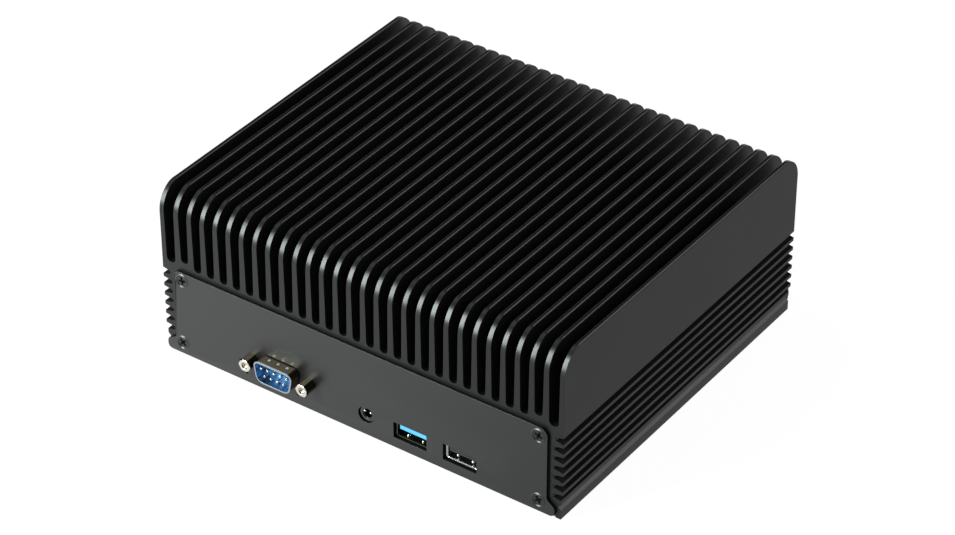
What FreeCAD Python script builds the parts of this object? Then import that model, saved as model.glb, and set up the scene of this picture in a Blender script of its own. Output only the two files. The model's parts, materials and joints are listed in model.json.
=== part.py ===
"""Fanless industrial computer: a finned aluminium housing closed by two end panels and a base plate,
with a mainboard, its connectors and the block that carries the processor's heat into the fins.

Working frame of the pieces: X to the right, Y from the housing's front end towards the rear, Z up from
the housing's lower edge, in millimetres. Every sub-part is then placed so that the origin lies under
the middle of the whole computer, on the surface that its rubber feet stand on.
"""
import FreeCAD, Part
import math
import os
import Sketcher

DOCUMENT = FreeCAD.newDocument("FanlessComputer")
SHEET = DOCUMENT.addObject("Spreadsheet::Sheet", "Sizes")

# Driving dimensions in millimetres, and the counts of what repeats.
SIZES = {
    # finned housing
    "housing_width": 170.0,
    "housing_depth": 146.8,
    "housing_height": 68.4,
    "fin_slot_width": 3.32,
    "deep_slot_count": 25,
    "slot_floor_height": 38.0,
    "boss_slot_rise": 1.8,
    "outer_slot_width": 4.0,
    "outer_fin_width": 2.02,
    "fin_corner_radius": 10.0,
    "groove_pitch": 4.0,
    "groove_height": 2.6,
    "groove_depth": 4.0,
    "top_groove_depth": 3.3,
    "side_groove_count": 7,
    "lowest_groove_height": 9.15,
    "skirt_inset": 0.6,
    "skirt_notch_height": 4.9,
    "skirt_notch_depth": 1.2,
    "side_wall": 6.4,
    "roof_thickness": 4.6,
    "boss_width": 5.4,
    "upper_boss_depth": 3.4,
    "lower_boss_top": 9.2,
    "skirt_wall": 2.3,
    # end panels
    "panel_thickness": 2.0,
    "panel_top": 36.9,
    "panel_bottom": 1.5,
    "panel_side_margin": 4.7,
    "panel_skirt_margin": 1.9,
    "panel_corner_radius": 3.0,
    "panel_shoulder_radius": 2.2,
    "panel_foot_radius": 2.0,
    "panel_screw_inset": 8.8,
    "upper_screw_height": 33.1,
    "lower_screw_height": 6.1,
    # base plate and feet
    "base_recess": 0.3,
    "base_thickness": 1.5,
    "base_screw_setback": 22.0,
    "mount_hole_spacing": 75.0,
    "mount_hole_radius": 1.65,
    "mount_nut_across_flats": 7.0,
    "mount_nut_height": 2.0,
    "mount_nut_spigot_radius": 2.6,
    "foot_radius": 5.5,
    "foot_tip_radius": 4.8,
    "foot_reach": 2.0,
    "foot_side_inset": 18.0,
    "foot_end_inset": 12.0,
    # fasteners
    "screw_radius": 1.5,
    "screw_head_radius": 2.9,
    "screw_length": 8.0,
    "fit_gap": 0.05,
    "slide_gap": 0.3,
    # mainboard
    "board_top": 5.9,
    "board_thickness": 1.6,
    "board_side_gap": 0.8,
    "board_end_gap": 1.0,
    "standoff_inset": 7.0,
    "standoff_across_flats": 5.5,
    "board_screw_across_flats": 5.0,
    "board_screw_head_height": 1.6,
    "board_screw_length": 3.8,
    # serial port
    "serial_across": -31.8,
    "serial_above_board": 6.75,
    "serial_shell_width": 16.92,
    "serial_shell_height": 8.36,
    "serial_shell_wall": 0.45,
    "serial_shell_corner": 2.4,
    "serial_shell_reach": 6.0,
    "serial_flange_width": 30.8,
    "serial_flange_height": 12.5,
    "serial_flange_thickness": 0.8,
    "serial_pocket_depth": 1.0,
    "serial_screw_spacing": 24.99,
    "jackscrew_across_flats": 4.75,
    "jackscrew_reach": 5.0,
    "jackscrew_bore_radius": 1.15,
    "jackscrew_bore_depth": 4.0,
    "jackscrew_shank_radius": 1.42,
    "serial_pin_pitch": 2.77,
    "serial_row_pitch": 2.84,
    "serial_pin_radius": 0.5,
    "serial_tail_width": 0.7,
    "serial_pin_setback": 0.6,
    "serial_face_depth": 5.0,
    "serial_body_depth": 8.0,
    # sound jack
    "sound_across": 4.8,
    "sound_above_board": 4.0,
    "sound_hole_radius": 3.25,
    "sound_barrel_radius": 3.0,
    "sound_bore_radius": 1.8,
    "sound_sleeve_wall": 0.3,
    "sound_sleeve_length": 3.0,
    "sound_body_width": 8.0,
    "sound_body_height": 7.2,
    "sound_body_depth": 12.0,
    "sound_barrel_setback": 1.0,
    # front USB ports
    "usb_width": 13.1,
    "usb_height": 5.9,
    "usb_wall": 0.35,
    "usb_depth": 14.0,
    "usb_setback": 1.5,
    "usb_window_margin": 0.4,
    "usb_tongue_width": 11.1,
    "usb_tongue_thickness": 1.84,
    "usb_tongue_length": 8.4,
    "usb_tongue_drop": 0.95,
    "usb_mouth_depth": 0.6,
    "usb_contact_width": 1.0,
    "usb_contact_thickness": 0.2,
    "usb_contact_length": 6.5,
    "usb_inner_pitch": 2.0,
    "usb_outer_pitch": 2.5,
    "usb_fast_across": 23.5,
    "usb_plain_across": 44.3,
    # rear ports
    "rear_reach": 0.6,
    "rear_window_margin": 0.4,
    "power_inset": 16.4,
    "power_width": 9.0,
    "power_height": 11.0,
    "power_depth": 14.2,
    "power_bore_radius": 3.15,
    "power_bore_depth": 9.5,
    "power_pin_radius": 1.0,
    "video_inset": 34.4,
    "video_width": 15.0,
    "video_height": 6.0,
    "video_depth": 12.0,
    "video_wall": 0.5,
    "video_bevel": 1.6,
    "video_tongue_width": 10.0,
    "video_tongue_thickness": 1.2,
    "video_tongue_length": 8.0,
    "lan_width": 16.0,
    "lan_height": 13.4,
    "lan_depth": 21.3,
    "lan_wall": 0.3,
    "lan_left_inset": 107.4,
    "lan_right_inset": 87.4,
    "lan_mouth_width": 11.9,
    "lan_mouth_height": 7.0,
    "lan_mouth_depth": 12.5,
    "lan_mouth_rise": 4.6,
    "lan_latch_width": 6.0,
    "lan_latch_height": 2.4,
    "lan_contact_pitch": 1.02,
    "lan_contact_width": 0.45,
    "lan_contact_height": 0.8,
    "lan_contact_length": 7.0,
    "stack_inset": 60.4,
    "stack_height": 15.6,
    "stack_depth": 17.5,
    # processor and its heat path
    "processor_size": 31.0,
    "processor_height": 2.2,
    "processor_setback": 74.0,
    "processor_across": -6.0,
    "heat_block_size": 44.0,
    "heat_block_leg_inset": 3.1,
    "pad_thickness": 0.5,
    # memory, storage and small parts on the board
    "memory_setback": 18.0,
    "memory_across": -22.0,
    "memory_width": 67.6,
    "memory_depth": 30.0,
    "memory_thickness": 1.2,
    "memory_rise": 2.4,
    "memory_socket_depth": 6.0,
    "memory_insertion": 3.0,
    "memory_arm_width": 2.0,
    "memory_arm_length": 24.0,
    "socket_height": 4.6,
    "chip_width": 12.0,
    "chip_depth": 9.0,
    "chip_height": 1.0,
    "chip_pitch": 15.5,
    "storage_side_inset": 24.4,
    "storage_setback": 38.0,
    "storage_width": 22.0,
    "storage_length": 80.0,
    "storage_thickness": 0.8,
    "storage_rise": 1.6,
    "storage_socket_depth": 6.0,
    "storage_socket_height": 3.6,
    "storage_clip_width": 6.0,
    "storage_clip_depth": 3.0,
    "cell_side_inset": 16.4,
    "cell_setback": 86.0,
    "cell_radius": 10.0,
    "cell_thickness": 3.2,
    "cell_holder_rim": 1.4,
    "cell_holder_floor": 0.8,
    "cell_holder_height": 3.0,
    "choke_across": 24.0,
    "choke_setback": 62.0,
    "choke_pitch": 10.0,
    "choke_size": 7.0,
    "choke_height": 4.0,
}


class Formula:
    """A length that carries its number together with the sheet expression that gives it."""

    def __init__(self, number, text):
        self.number = number
        self.text = text

    def joined(self, other, sign, number, swapped=False):
        first, second = (other, self) if swapped else (self, other)
        return Formula(number, f"({first.text} {sign} {second.text})")

    def __add__(self, other):
        other = formula(other)
        return self.joined(other, "+", self.number + other.number)

    def __radd__(self, other):
        return formula(other) + self

    def __sub__(self, other):
        other = formula(other)
        return self.joined(other, "-", self.number - other.number)

    def __rsub__(self, other):
        return formula(other) - self

    def __mul__(self, other):
        other = formula(other)
        return self.joined(other, "*", self.number * other.number)

    def __rmul__(self, other):
        return formula(other) * self

    def __truediv__(self, other):
        other = formula(other)
        return self.joined(other, "/", self.number / other.number)

    def __neg__(self):
        return Formula(-self.number, f"(-{self.text})")


def formula(value):
    """Return value as a Formula; a plain number becomes a constant."""
    if isinstance(value, Formula):
        return value
    return Formula(float(value), repr(float(value)))


def fill_sheet():
    """Write every driving dimension into the sheet under its alias."""
    for row, (name, number) in enumerate(SIZES.items(), start=1):
        SHEET.set(f"A{row}", name.replace("_", " "))
        SHEET.set(f"B{row}", str(number))
        SHEET.setAlias(f"B{row}", name)
    DOCUMENT.recompute()


def size(name):
    """Return the sheet's cell called name as a Formula."""
    return Formula(float(SIZES[name]), f"Sizes.{name}")


def bind(thing, target, value):
    """Tie one property of a document object to a formula."""
    value = formula(value)
    thing.setExpression(target, value.text)


fill_sheet()

# Places that several sub-parts share, all worked out from the sheet.
HALF_WIDTH = size("housing_width") / 2
DEPTH = size("housing_depth")
PANEL = size("panel_thickness")
CAVITY_HALF = HALF_WIDTH - size("side_wall")
FIN_PITCH = ((HALF_WIDTH - size("outer_fin_width") - size("outer_slot_width") + size("fin_slot_width") / 2)
             / (size("deep_slot_count") + 3) * 2)
ROOF_UNDERSIDE = size("slot_floor_height") - size("roof_thickness")
BASE_TOP = size("base_recess") + size("base_thickness")
BASE_HALF = HALF_WIDTH - size("skirt_inset") - size("skirt_wall") - size("slide_gap")
BOARD_TOP = size("board_top")
BOARD_UNDERSIDE = BOARD_TOP - size("board_thickness")
BOARD_HALF = CAVITY_HALF - size("boss_width") - size("board_side_gap")
SCREW_ACROSS = HALF_WIDTH - size("panel_screw_inset")
SERIAL_MIDDLE = BOARD_TOP + size("serial_above_board")
SERIAL_FLANGE_FACE = size("serial_pocket_depth") - PANEL
SERIAL_RIM = SERIAL_FLANGE_FACE - size("serial_shell_reach")
REAR_FACE = DEPTH + PANEL + size("rear_reach")
JACKSCREW_TIP = -PANEL - size("jackscrew_reach")
ORIGIN_Y = (REAR_FACE + JACKSCREW_TIP) / 2
ORIGIN_Z = -size("foot_reach")
THREAD_SIDES = 8
SUBPARTS = []


def keep(thing):
    """Note a finished sub-part; its Label names its node and its file."""
    SUBPARTS.append(thing)
    return thing


# ---------------------------------------------------------------- sketches and bodies


def new_body(label):
    """Start a PartDesign body that stands at the computer's place."""
    body = DOCUMENT.addObject("PartDesign::Body", label)
    body.Label = label
    bind(body, "Placement.Base.y", -ORIGIN_Y)
    bind(body, "Placement.Base.z", -ORIGIN_Z)
    return body


def new_sketch(body, name, plane, offset=0):
    """Attach an empty sketch to one of the body's origin planes, moved along the plane's normal."""
    sketch = body.newObject("Sketcher::SketchObject", f"{body.Name}_{name}")
    support = [entry for entry in body.Origin.OriginFeatures if entry.Role == plane][0]
    sketch.AttachmentSupport = [(support, "")]
    sketch.MapMode = "FlatFace"
    bind(sketch, "AttachmentOffset.Base.z", offset)
    return sketch


def pin_down(sketch, geometry, vertex, across, up):
    """Fix one vertex of a sketch by its two distances from the sketch's origin."""
    for kind, value in (("DistanceX", across), ("DistanceY", up)):
        rule = Sketcher.Constraint(kind, -1, 1, geometry, vertex, formula(value).number)
        index = sketch.addConstraint(rule)
        bind(sketch, f"Constraints[{index}]", value)


def draw_polygon(sketch, corners):
    """Draw a closed outline of straight edges through corners given as pairs of formulas."""
    spots = [FreeCAD.Vector(formula(x).number, formula(y).number, 0) for x, y in corners]
    first = sketch.GeometryCount
    count = len(spots)
    for index in range(count):
        edge = Part.LineSegment(spots[index], spots[(index + 1) % count])
        sketch.addGeometry(edge, False)
    for index in range(count):
        following = first + (index + 1) % count
        sketch.addConstraint(Sketcher.Constraint("Coincident", first + index, 2, following, 1))
    for index, (x, y) in enumerate(corners):
        pin_down(sketch, first + index, 1, x, y)


def rectangle(left, right, low, high):
    """Return the corners of an upright rectangle."""
    return [(left, low), (right, low), (right, high), (left, high)]


def draw_circle(sketch, across, up, radius):
    """Draw a circle whose centre and radius are formulas."""
    spot = FreeCAD.Vector(formula(across).number, formula(up).number, 0)
    circle = Part.Circle(spot, FreeCAD.Vector(0, 0, 1), formula(radius).number)
    index = sketch.addGeometry(circle, False)
    pin_down(sketch, index, 3, across, up)
    rule = sketch.addConstraint(Sketcher.Constraint("Radius", index, formula(radius).number))
    bind(sketch, f"Constraints[{rule}]", radius)


def draw_regular(sketch, across, up, radius, sides):
    """Draw a regular polygon with one corner on the right; radius reaches its corners."""
    corners = []
    for index in range(sides):
        turn = 2 * math.pi * index / sides
        corners.append((across + radius * math.cos(turn), up + radius * math.sin(turn)))
    draw_polygon(sketch, corners)


def draw_thread_hole(sketch, across, up, radius):
    """Draw the hole for a threaded shank: eight-sided, as the shanks are, to keep its faces few."""
    draw_regular(sketch, across, up, radius + size("fit_gap"), THREAD_SIDES)


def draw_channel(sketch, middle, half, far, seat, turn):
    """Draw a straight channel with a round floor, open towards far.

    The channel runs up from its seat when turn is 0, or sideways when turn is +1 (to +X) or -1 (to -X).
    middle is the channel's centre line, half its half width and seat the deepest point of its floor.
    """
    sign = -1 if turn < 0 else 1
    bow = seat + sign * half
    low = middle - half
    high = middle + half
    if turn == 0:
        corners = [(low, bow), (low, far), (high, far), (high, bow)]
        centre = (middle, bow)
        start, stop = math.pi, 2 * math.pi
    else:
        corners = [(bow, high), (far, high), (far, low), (bow, low)]
        centre = (bow, middle)
        start, stop = (math.pi / 2, 1.5 * math.pi) if turn > 0 else (-math.pi / 2, math.pi / 2)
    spots = [FreeCAD.Vector(formula(x).number, formula(y).number, 0) for x, y in corners]
    first = sketch.GeometryCount
    for index in range(3):
        sketch.addGeometry(Part.LineSegment(spots[index], spots[index + 1]), False)
    hub = FreeCAD.Vector(formula(centre[0]).number, formula(centre[1]).number, 0)
    circle = Part.Circle(hub, FreeCAD.Vector(0, 0, 1), formula(half).number)
    arc = sketch.addGeometry(Part.ArcOfCircle(circle, start, stop), False)
    for index in range(2):
        sketch.addConstraint(Sketcher.Constraint("Coincident", first + index, 2, first + index + 1, 1))
    for index in range(3):
        pin_down(sketch, first + index, 1, *corners[index])
    pin_down(sketch, first + 2, 2, *corners[3])
    begin, end = (1, 2) if sketch.getPoint(arc, 1).distanceToPoint(spots[0]) < 0.001 else (2, 1)
    sketch.addConstraint(Sketcher.Constraint("Coincident", arc, begin, first, 1))
    sketch.addConstraint(Sketcher.Constraint("Coincident", arc, end, first + 2, 2))
    kind, value = ("DistanceY", bow) if turn == 0 else ("DistanceX", bow)
    rule = sketch.addConstraint(Sketcher.Constraint(kind, -1, 1, arc, 3, formula(value).number))
    bind(sketch, f"Constraints[{rule}]", value)


def pad(body, sketch, length, backwards=False):
    """Raise a sketch into material."""
    feature = body.newObject("PartDesign::Pad", f"{sketch.Name}_pad")
    feature.Profile = sketch
    bind(feature, "Length", length)
    feature.Reversed = backwards
    DOCUMENT.recompute()
    return feature


def pocket(body, sketch, length=None, backwards=False):
    """Cut a sketch into the body, right through it when no length is given, and see that it cuts."""
    before = body.Shape.Volume
    feature = body.newObject("PartDesign::Pocket", f"{sketch.Name}_cut")
    feature.Profile = sketch
    feature.Reversed = backwards
    if length is None:
        feature.Type = "ThroughAll"
        feature.SideType = "Symmetric"
    else:
        bind(feature, "Length", length)
    DOCUMENT.recompute()
    if not body.Shape.Volume < before:
        raise RuntimeError(f"{feature.Name} removes nothing")
    return feature


def pattern(body, feature, sketch, axis, length, count):
    """Repeat a feature along one axis of its sketch; the last copy lies at length."""
    row = body.newObject("PartDesign::LinearPattern", f"{feature.Name}_row")
    row.Originals = [feature]
    row.Direction = (sketch, [axis])
    bind(row, "Length", length)
    bind(row, "Occurrences", count)
    body.Tip = row
    DOCUMENT.recompute()
    return row


def edges_at(shape, axis, spots):
    """Name the edges that run along an axis (0 for X, 1 for Y, 2 for Z) through the given spots."""
    names = []
    rest = [index for index in range(3) if index != axis]
    for number, edge in enumerate(shape.Edges, start=1):
        ends = [vertex.Point for vertex in edge.Vertexes]
        if len(ends) != 2 or any(abs(ends[0][index] - ends[1][index]) > 0.001 for index in rest):
            continue
        for spot in spots:
            if all(abs(ends[0][index] - formula(spot[order]).number) < 0.01
                   for order, index in enumerate(rest)):
                names.append(f"Edge{number}")
    return names


def round_edges(body, axis, spots, radius, name):
    """Fillet the body's edges that run along an axis through the given spots."""
    base = body.Tip
    names = edges_at(base.Shape, axis, spots)
    if len(names) < len(spots):
        raise RuntimeError(f"{body.Name}: {len(names)} edges found for {name}, {len(spots)} wanted")
    fillet = body.newObject("PartDesign::Fillet", f"{body.Name}_{name}")
    fillet.Base = (base, names)
    bind(fillet, "Radius", radius)
    DOCUMENT.recompute()
    return fillet


# ---------------------------------------------------------------- primitives


def place(thing, x, y, z):
    """Put a primitive at a place given in the working frame."""
    bind(thing, "Placement.Base.x", x)
    bind(thing, "Placement.Base.y", formula(y) - ORIGIN_Y)
    bind(thing, "Placement.Base.z", formula(z) - ORIGIN_Z)


def box(name, left, right, front, rear, low, high):
    """Make a box from its six sides."""
    block = DOCUMENT.addObject("Part::Box", name)
    bind(block, "Length", formula(right) - left)
    bind(block, "Width", formula(rear) - front)
    bind(block, "Height", formula(high) - low)
    place(block, left, front, low)
    return block


TURNS = {
    "x": FreeCAD.Rotation(FreeCAD.Vector(0, 1, 0), 90),
    "y": FreeCAD.Rotation(FreeCAD.Vector(1, 0, 0), -90),
    "z": FreeCAD.Rotation(),
}


def cylinder(name, axis, radius, length, x, y, z):
    """Make a cylinder that starts at a place and runs towards plus along one axis."""
    rod = DOCUMENT.addObject("Part::Cylinder", name)
    rod.Placement = FreeCAD.Placement(FreeCAD.Vector(), TURNS[axis])
    bind(rod, "Radius", radius)
    bind(rod, "Height", length)
    place(rod, x, y, z)
    return rod


def cone(name, axis, first_radius, last_radius, length, x, y, z):
    """Make a cone frustum that starts at a place and runs towards plus along one axis."""
    frustum = DOCUMENT.addObject("Part::Cone", name)
    frustum.Placement = FreeCAD.Placement(FreeCAD.Vector(), TURNS[axis])
    bind(frustum, "Radius1", first_radius)
    bind(frustum, "Radius2", last_radius)
    bind(frustum, "Height", length)
    place(frustum, x, y, z)
    return frustum


def prism(name, axis, sides, radius, length, x, y, z):
    """Make a regular prism that starts at a place and runs towards plus along one axis."""
    column = DOCUMENT.addObject("Part::Prism", name)
    column.Polygon = sides
    column.Placement = FreeCAD.Placement(FreeCAD.Vector(), TURNS[axis])
    bind(column, "Circumradius", radius)
    bind(column, "Height", length)
    place(column, x, y, z)
    return column


def hexagon(name, axis, across_flats, length, x, y, z):
    """Make a hexagonal prism from its width across flats."""
    corner = formula(across_flats) / 2 / math.cos(math.radians(30))
    return prism(name, axis, 6, corner, length, x, y, z)


def thread(name, axis, radius, length, x, y, z):
    """Make the stand-in for a threaded shank or for the cutter of its hole."""
    return prism(name, axis, THREAD_SIDES, radius, length, x, y, z)


def fuse(name, pieces):
    """Join pieces into one."""
    joined = DOCUMENT.addObject("Part::MultiFuse", name)
    joined.Shapes = pieces
    joined.Refine = True
    return joined


def cut(name, base, tools):
    """Take tools away from a base."""
    result = DOCUMENT.addObject("Part::Cut", name)
    result.Base = base
    result.Tool = tools[0] if len(tools) == 1 else fuse(f"{name}_tools", tools)
    result.Refine = True
    return result


def group(name, pieces):
    """Hold separate solids together in one sub-part."""
    bundle = DOCUMENT.addObject("Part::Compound", name)
    bundle.Links = pieces
    bundle.Label = name
    return keep(bundle)


# ---------------------------------------------------------------- housing, panels and base


def make_housing():
    """The extruded housing: fins and slots on top, grooved sides, screw bosses in its corners."""
    body = new_body("finned_housing")
    high = size("housing_height")
    skirt_half = HALF_WIDTH - size("skirt_inset")
    step = size("lowest_groove_height")
    outline = new_sketch(body, "outline", "XZ_Plane")
    draw_polygon(outline, [
        (-skirt_half, 0), (skirt_half, 0), (skirt_half, step), (HALF_WIDTH, step),
        (HALF_WIDTH, high), (-HALF_WIDTH, high), (-HALF_WIDTH, step), (-skirt_half, step)])
    pad(body, outline, DEPTH, backwards=True)
    round_edges(body, 0, [(0, high), (DEPTH, high)], size("fin_corner_radius"), "fin_corners")

    half_slot = size("fin_slot_width") / 2
    floor = size("slot_floor_height")
    above = high + half_slot
    first = -FIN_PITCH * (size("deep_slot_count") - 1) / 2
    deep = new_sketch(body, "deep_slot", "XZ_Plane")
    draw_channel(deep, first, half_slot, above, floor, 0)
    slot = pocket(body, deep)
    pattern(body, slot, deep, "H_Axis", -2 * first, size("deep_slot_count"))

    beside = FIN_PITCH - first
    shallow = new_sketch(body, "boss_slots", "XZ_Plane")
    outer = new_sketch(body, "outer_slots", "XZ_Plane")
    outer_half = size("outer_slot_width") / 2
    outer_middle = HALF_WIDTH - size("outer_fin_width") - outer_half
    for side in (-1, 1):
        draw_channel(shallow, side * beside, half_slot, above, floor + size("boss_slot_rise"), 0)
        draw_channel(outer, side * outer_middle, outer_half, above, floor, 0)
    pocket(body, shallow)
    pocket(body, outer)

    half_groove = size("groove_height") / 2
    beyond = HALF_WIDTH + half_groove
    grooves = new_sketch(body, "grooves", "XZ_Plane")
    top_grooves = new_sketch(body, "top_grooves", "XZ_Plane")
    top = step + (size("side_groove_count") - 1) * size("groove_pitch")
    for side in (-1, 1):
        seat = side * (HALF_WIDTH - size("groove_depth"))
        top_seat = side * (HALF_WIDTH - size("top_groove_depth"))
        draw_channel(grooves, step, half_groove, side * beyond, seat, side)
        draw_channel(top_grooves, top, half_groove, side * beyond, top_seat, side)
    groove = pocket(body, grooves)
    lower_count = size("side_groove_count") - 1
    pattern(body, groove, grooves, "V_Axis", (lower_count - 1) * size("groove_pitch"), lower_count)
    pocket(body, top_grooves)

    notch = new_sketch(body, "skirt_notches", "XZ_Plane")
    middle, deep_end = size("skirt_notch_height"), skirt_half - size("skirt_notch_depth")
    spread = size("skirt_notch_depth")
    for side in (-1, 1):
        draw_polygon(notch, [(side * deep_end, middle), (side * (skirt_half + spread), middle - 2 * spread),
                             (side * (skirt_half + spread), middle + 2 * spread)])
    pocket(body, notch)

    boss = CAVITY_HALF - size("boss_width")
    ledge_half = BASE_HALF + size("slide_gap")
    boss_floor = ROOF_UNDERSIDE - size("upper_boss_depth")
    right = [(ledge_half, 0), (ledge_half, BASE_TOP), (boss, BASE_TOP), (boss, size("lower_boss_top")),
             (CAVITY_HALF, size("lower_boss_top")), (CAVITY_HALF, boss_floor), (boss, boss_floor),
             (boss, ROOF_UNDERSIDE)]
    cavity = new_sketch(body, "cavity", "XZ_Plane")
    draw_polygon(cavity, right + [(-x, z) for x, z in reversed(right)])
    pocket(body, cavity)

    for name, start, backwards in (("front", 0, False), ("rear", -DEPTH, True)):
        holes = new_sketch(body, f"{name}_threads", "XZ_Plane", start)
        for side in (-1, 1):
            draw_thread_hole(holes, side * SCREW_ACROSS, size("upper_screw_height"), size("screw_radius"))
            draw_thread_hole(holes, side * SCREW_ACROSS, size("lower_screw_height"), size("screw_radius"))
        pocket(body, holes, size("screw_length"), backwards)
    base_holes = new_sketch(body, "base_threads", "XY_Plane")
    for x, y in base_screw_places():
        draw_thread_hole(base_holes, x, y, size("screw_radius"))
    pocket(body, base_holes, size("base_recess") + size("screw_length"), True)
    keep(body)


def base_screw_places():
    """Where screws hold the base plate to the lower bosses."""
    setback = size("base_screw_setback")
    return [(side * SCREW_ACROSS, y) for side in (-1, 1) for y in (setback, DEPTH - setback)]


def panel_screw_places():
    """Where screws hold an end panel to the corner bosses."""
    return [(side * SCREW_ACROSS, size(f"{level}_screw_height"))
            for side in (-1, 1) for level in ("upper", "lower")]


def start_panel(label, near_face):
    """The plain end panel: straight upper sides, an S-shaped shoulder and a wider foot."""
    body = new_body(label)
    narrow = HALF_WIDTH - size("panel_side_margin")
    wide = HALF_WIDTH - size("panel_skirt_margin")
    low, high = size("panel_bottom"), size("panel_top")
    rise = (wide - narrow) / 2
    shoulder_low = size("lowest_groove_height") - rise
    shoulder_high = size("lowest_groove_height") + rise
    outline = new_sketch(body, "outline", "XZ_Plane", -near_face)
    right = [(wide, low), (wide, shoulder_low), (narrow, shoulder_high), (narrow, high)]
    draw_polygon(outline, right + [(-x, z) for x, z in reversed(right)])
    pad(body, outline, PANEL, backwards=True)
    for name, x, z in (("panel_corner", narrow, high), ("panel_foot", wide, low)):
        round_edges(body, 1, [(x, z), (-x, z)], size(f"{name}_radius"), name)
    bends = [(side * x, z) for side in (-1, 1) for x, z in ((wide, shoulder_low), (narrow, shoulder_high))]
    round_edges(body, 1, bends, size("panel_shoulder_radius"), "panel_shoulder")
    return body


def cut_screw_holes(body, outer_face, side):
    """Drill and countersink an end panel for its four corner screws."""
    head = size("screw_head_radius") + size("fit_gap")
    holes = new_sketch(body, "screw_holes", "XZ_Plane", -outer_face)
    seats = new_sketch(body, "screw_seats", "XZ_Plane", -outer_face)
    for x, z in panel_screw_places():
        draw_thread_hole(holes, x, z, size("screw_radius"))
        draw_circle(seats, x, z, head)
    pocket(body, holes)
    sunk = pocket(body, seats, size("screw_head_radius") - size("screw_radius"), side < 0)
    sunk.TaperAngle = -45
    return sunk


def serial_outline(grow):
    """The D-shaped outline of the serial shell, grown outwards by grow."""
    half = size("serial_shell_width") / 2 + grow
    low = SERIAL_MIDDLE - size("serial_shell_height") / 2 - grow
    high = SERIAL_MIDDLE + size("serial_shell_height") / 2 + grow
    narrow = half - (high - low) * math.tan(math.radians(10))
    middle = size("serial_across")
    return [(middle - half, high), (middle - narrow, low), (middle + narrow, low), (middle + half, high)]


def usb_window(middle, margin):
    """The window of an end panel round one USB shell."""
    half = size("usb_width") / 2 + margin
    high = BOARD_TOP + size("usb_height") + margin
    return rectangle(middle - half, middle + half, BOARD_TOP - margin, high)


def make_front_panel():
    """The front panel with the serial port's window and pocket, the sound hole and two USB windows."""
    body = start_panel("front_panel", -PANEL)
    window = new_sketch(body, "serial_window", "XZ_Plane")
    grown = serial_outline(size("slide_gap"))
    draw_polygon(window, grown)
    pocket(body, window)
    round_edges(body, 1, grown, size("serial_shell_corner") + size("slide_gap"), "serial_window_corners")
    flange = new_sketch(body, "flange_pocket", "XZ_Plane")
    reach = size("serial_flange_width") / 2 + size("slide_gap")
    rise = size("serial_flange_height") / 2 + size("slide_gap")
    middle = size("serial_across")
    draw_polygon(flange, rectangle(middle - reach, middle + reach, BOARD_TOP - size("slide_gap"),
                                   SERIAL_MIDDLE + rise))
    pocket(body, flange, size("serial_pocket_depth"), True)
    holes = new_sketch(body, "round_holes", "XZ_Plane")
    for side in (-1, 1):
        draw_thread_hole(holes, middle + side * size("serial_screw_spacing") / 2, SERIAL_MIDDLE,
                         size("jackscrew_shank_radius"))
    sound_height = BOARD_TOP + size("sound_above_board")
    draw_circle(holes, size("sound_across"), sound_height, size("sound_hole_radius"))
    pocket(body, holes)
    windows = new_sketch(body, "usb_windows", "XZ_Plane")
    for across in ("usb_fast_across", "usb_plain_across"):
        draw_polygon(windows, usb_window(size(across), size("usb_window_margin")))
    pocket(body, windows)
    cut_screw_holes(body, -PANEL, 1)
    keep(body)


def rear_place(name):
    """How far across a rear socket stands; its inset is taken from the mainboard's power side."""
    return BOARD_HALF - size(f"{name}_inset")


def socket_window(middle, width, height):
    """The window of the rear panel round a socket that stands on the mainboard."""
    margin = size("rear_window_margin")
    half = width / 2 + margin
    return rectangle(middle - half, middle + half, BOARD_TOP - margin, BOARD_TOP + height + margin)


def make_rear_panel():
    """The rear panel with windows for power, video, two network sockets and a double USB socket."""
    body = start_panel("rear_panel", DEPTH)
    windows = new_sketch(body, "windows", "XZ_Plane", -DEPTH)
    for name, width, height in (
            ("power", "power_width", "power_height"), ("video", "video_width", "video_height"),
            ("lan_left", "lan_width", "lan_height"), ("lan_right", "lan_width", "lan_height"),
            ("stack", "usb_width", "stack_height")):
        draw_polygon(windows, socket_window(rear_place(name), size(width), size(height)))
    pocket(body, windows)
    cut_screw_holes(body, DEPTH + PANEL, -1)
    keep(body)


def make_base_plate():
    """The plate that closes the housing from below, countersunk for its own screws."""
    body = new_body("base_plate")
    low = size("base_recess")
    outline = new_sketch(body, "outline", "XY_Plane", low)
    draw_polygon(outline, rectangle(-BASE_HALF, BASE_HALF, 0, DEPTH))
    pad(body, outline, size("base_thickness"))
    holes = new_sketch(body, "holes", "XY_Plane", low)
    half = size("mount_hole_spacing") / 2
    for x in (-half, half):
        for y in (DEPTH / 2 - half, DEPTH / 2 + half):
            draw_regular(holes, x, y, size("mount_nut_spigot_radius") + size("fit_gap"), 6)
    for x, y in base_screw_places():
        draw_thread_hole(holes, x, y, size("screw_radius"))
    pocket(body, holes)
    seats = new_sketch(body, "seats", "XY_Plane", low)
    for x, y in base_screw_places():
        draw_circle(seats, x, y, size("screw_head_radius") + size("fit_gap"))
    sunk = pocket(body, seats, size("screw_head_radius") - size("screw_radius"), True)
    sunk.TaperAngle = -45
    keep(body)


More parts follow.
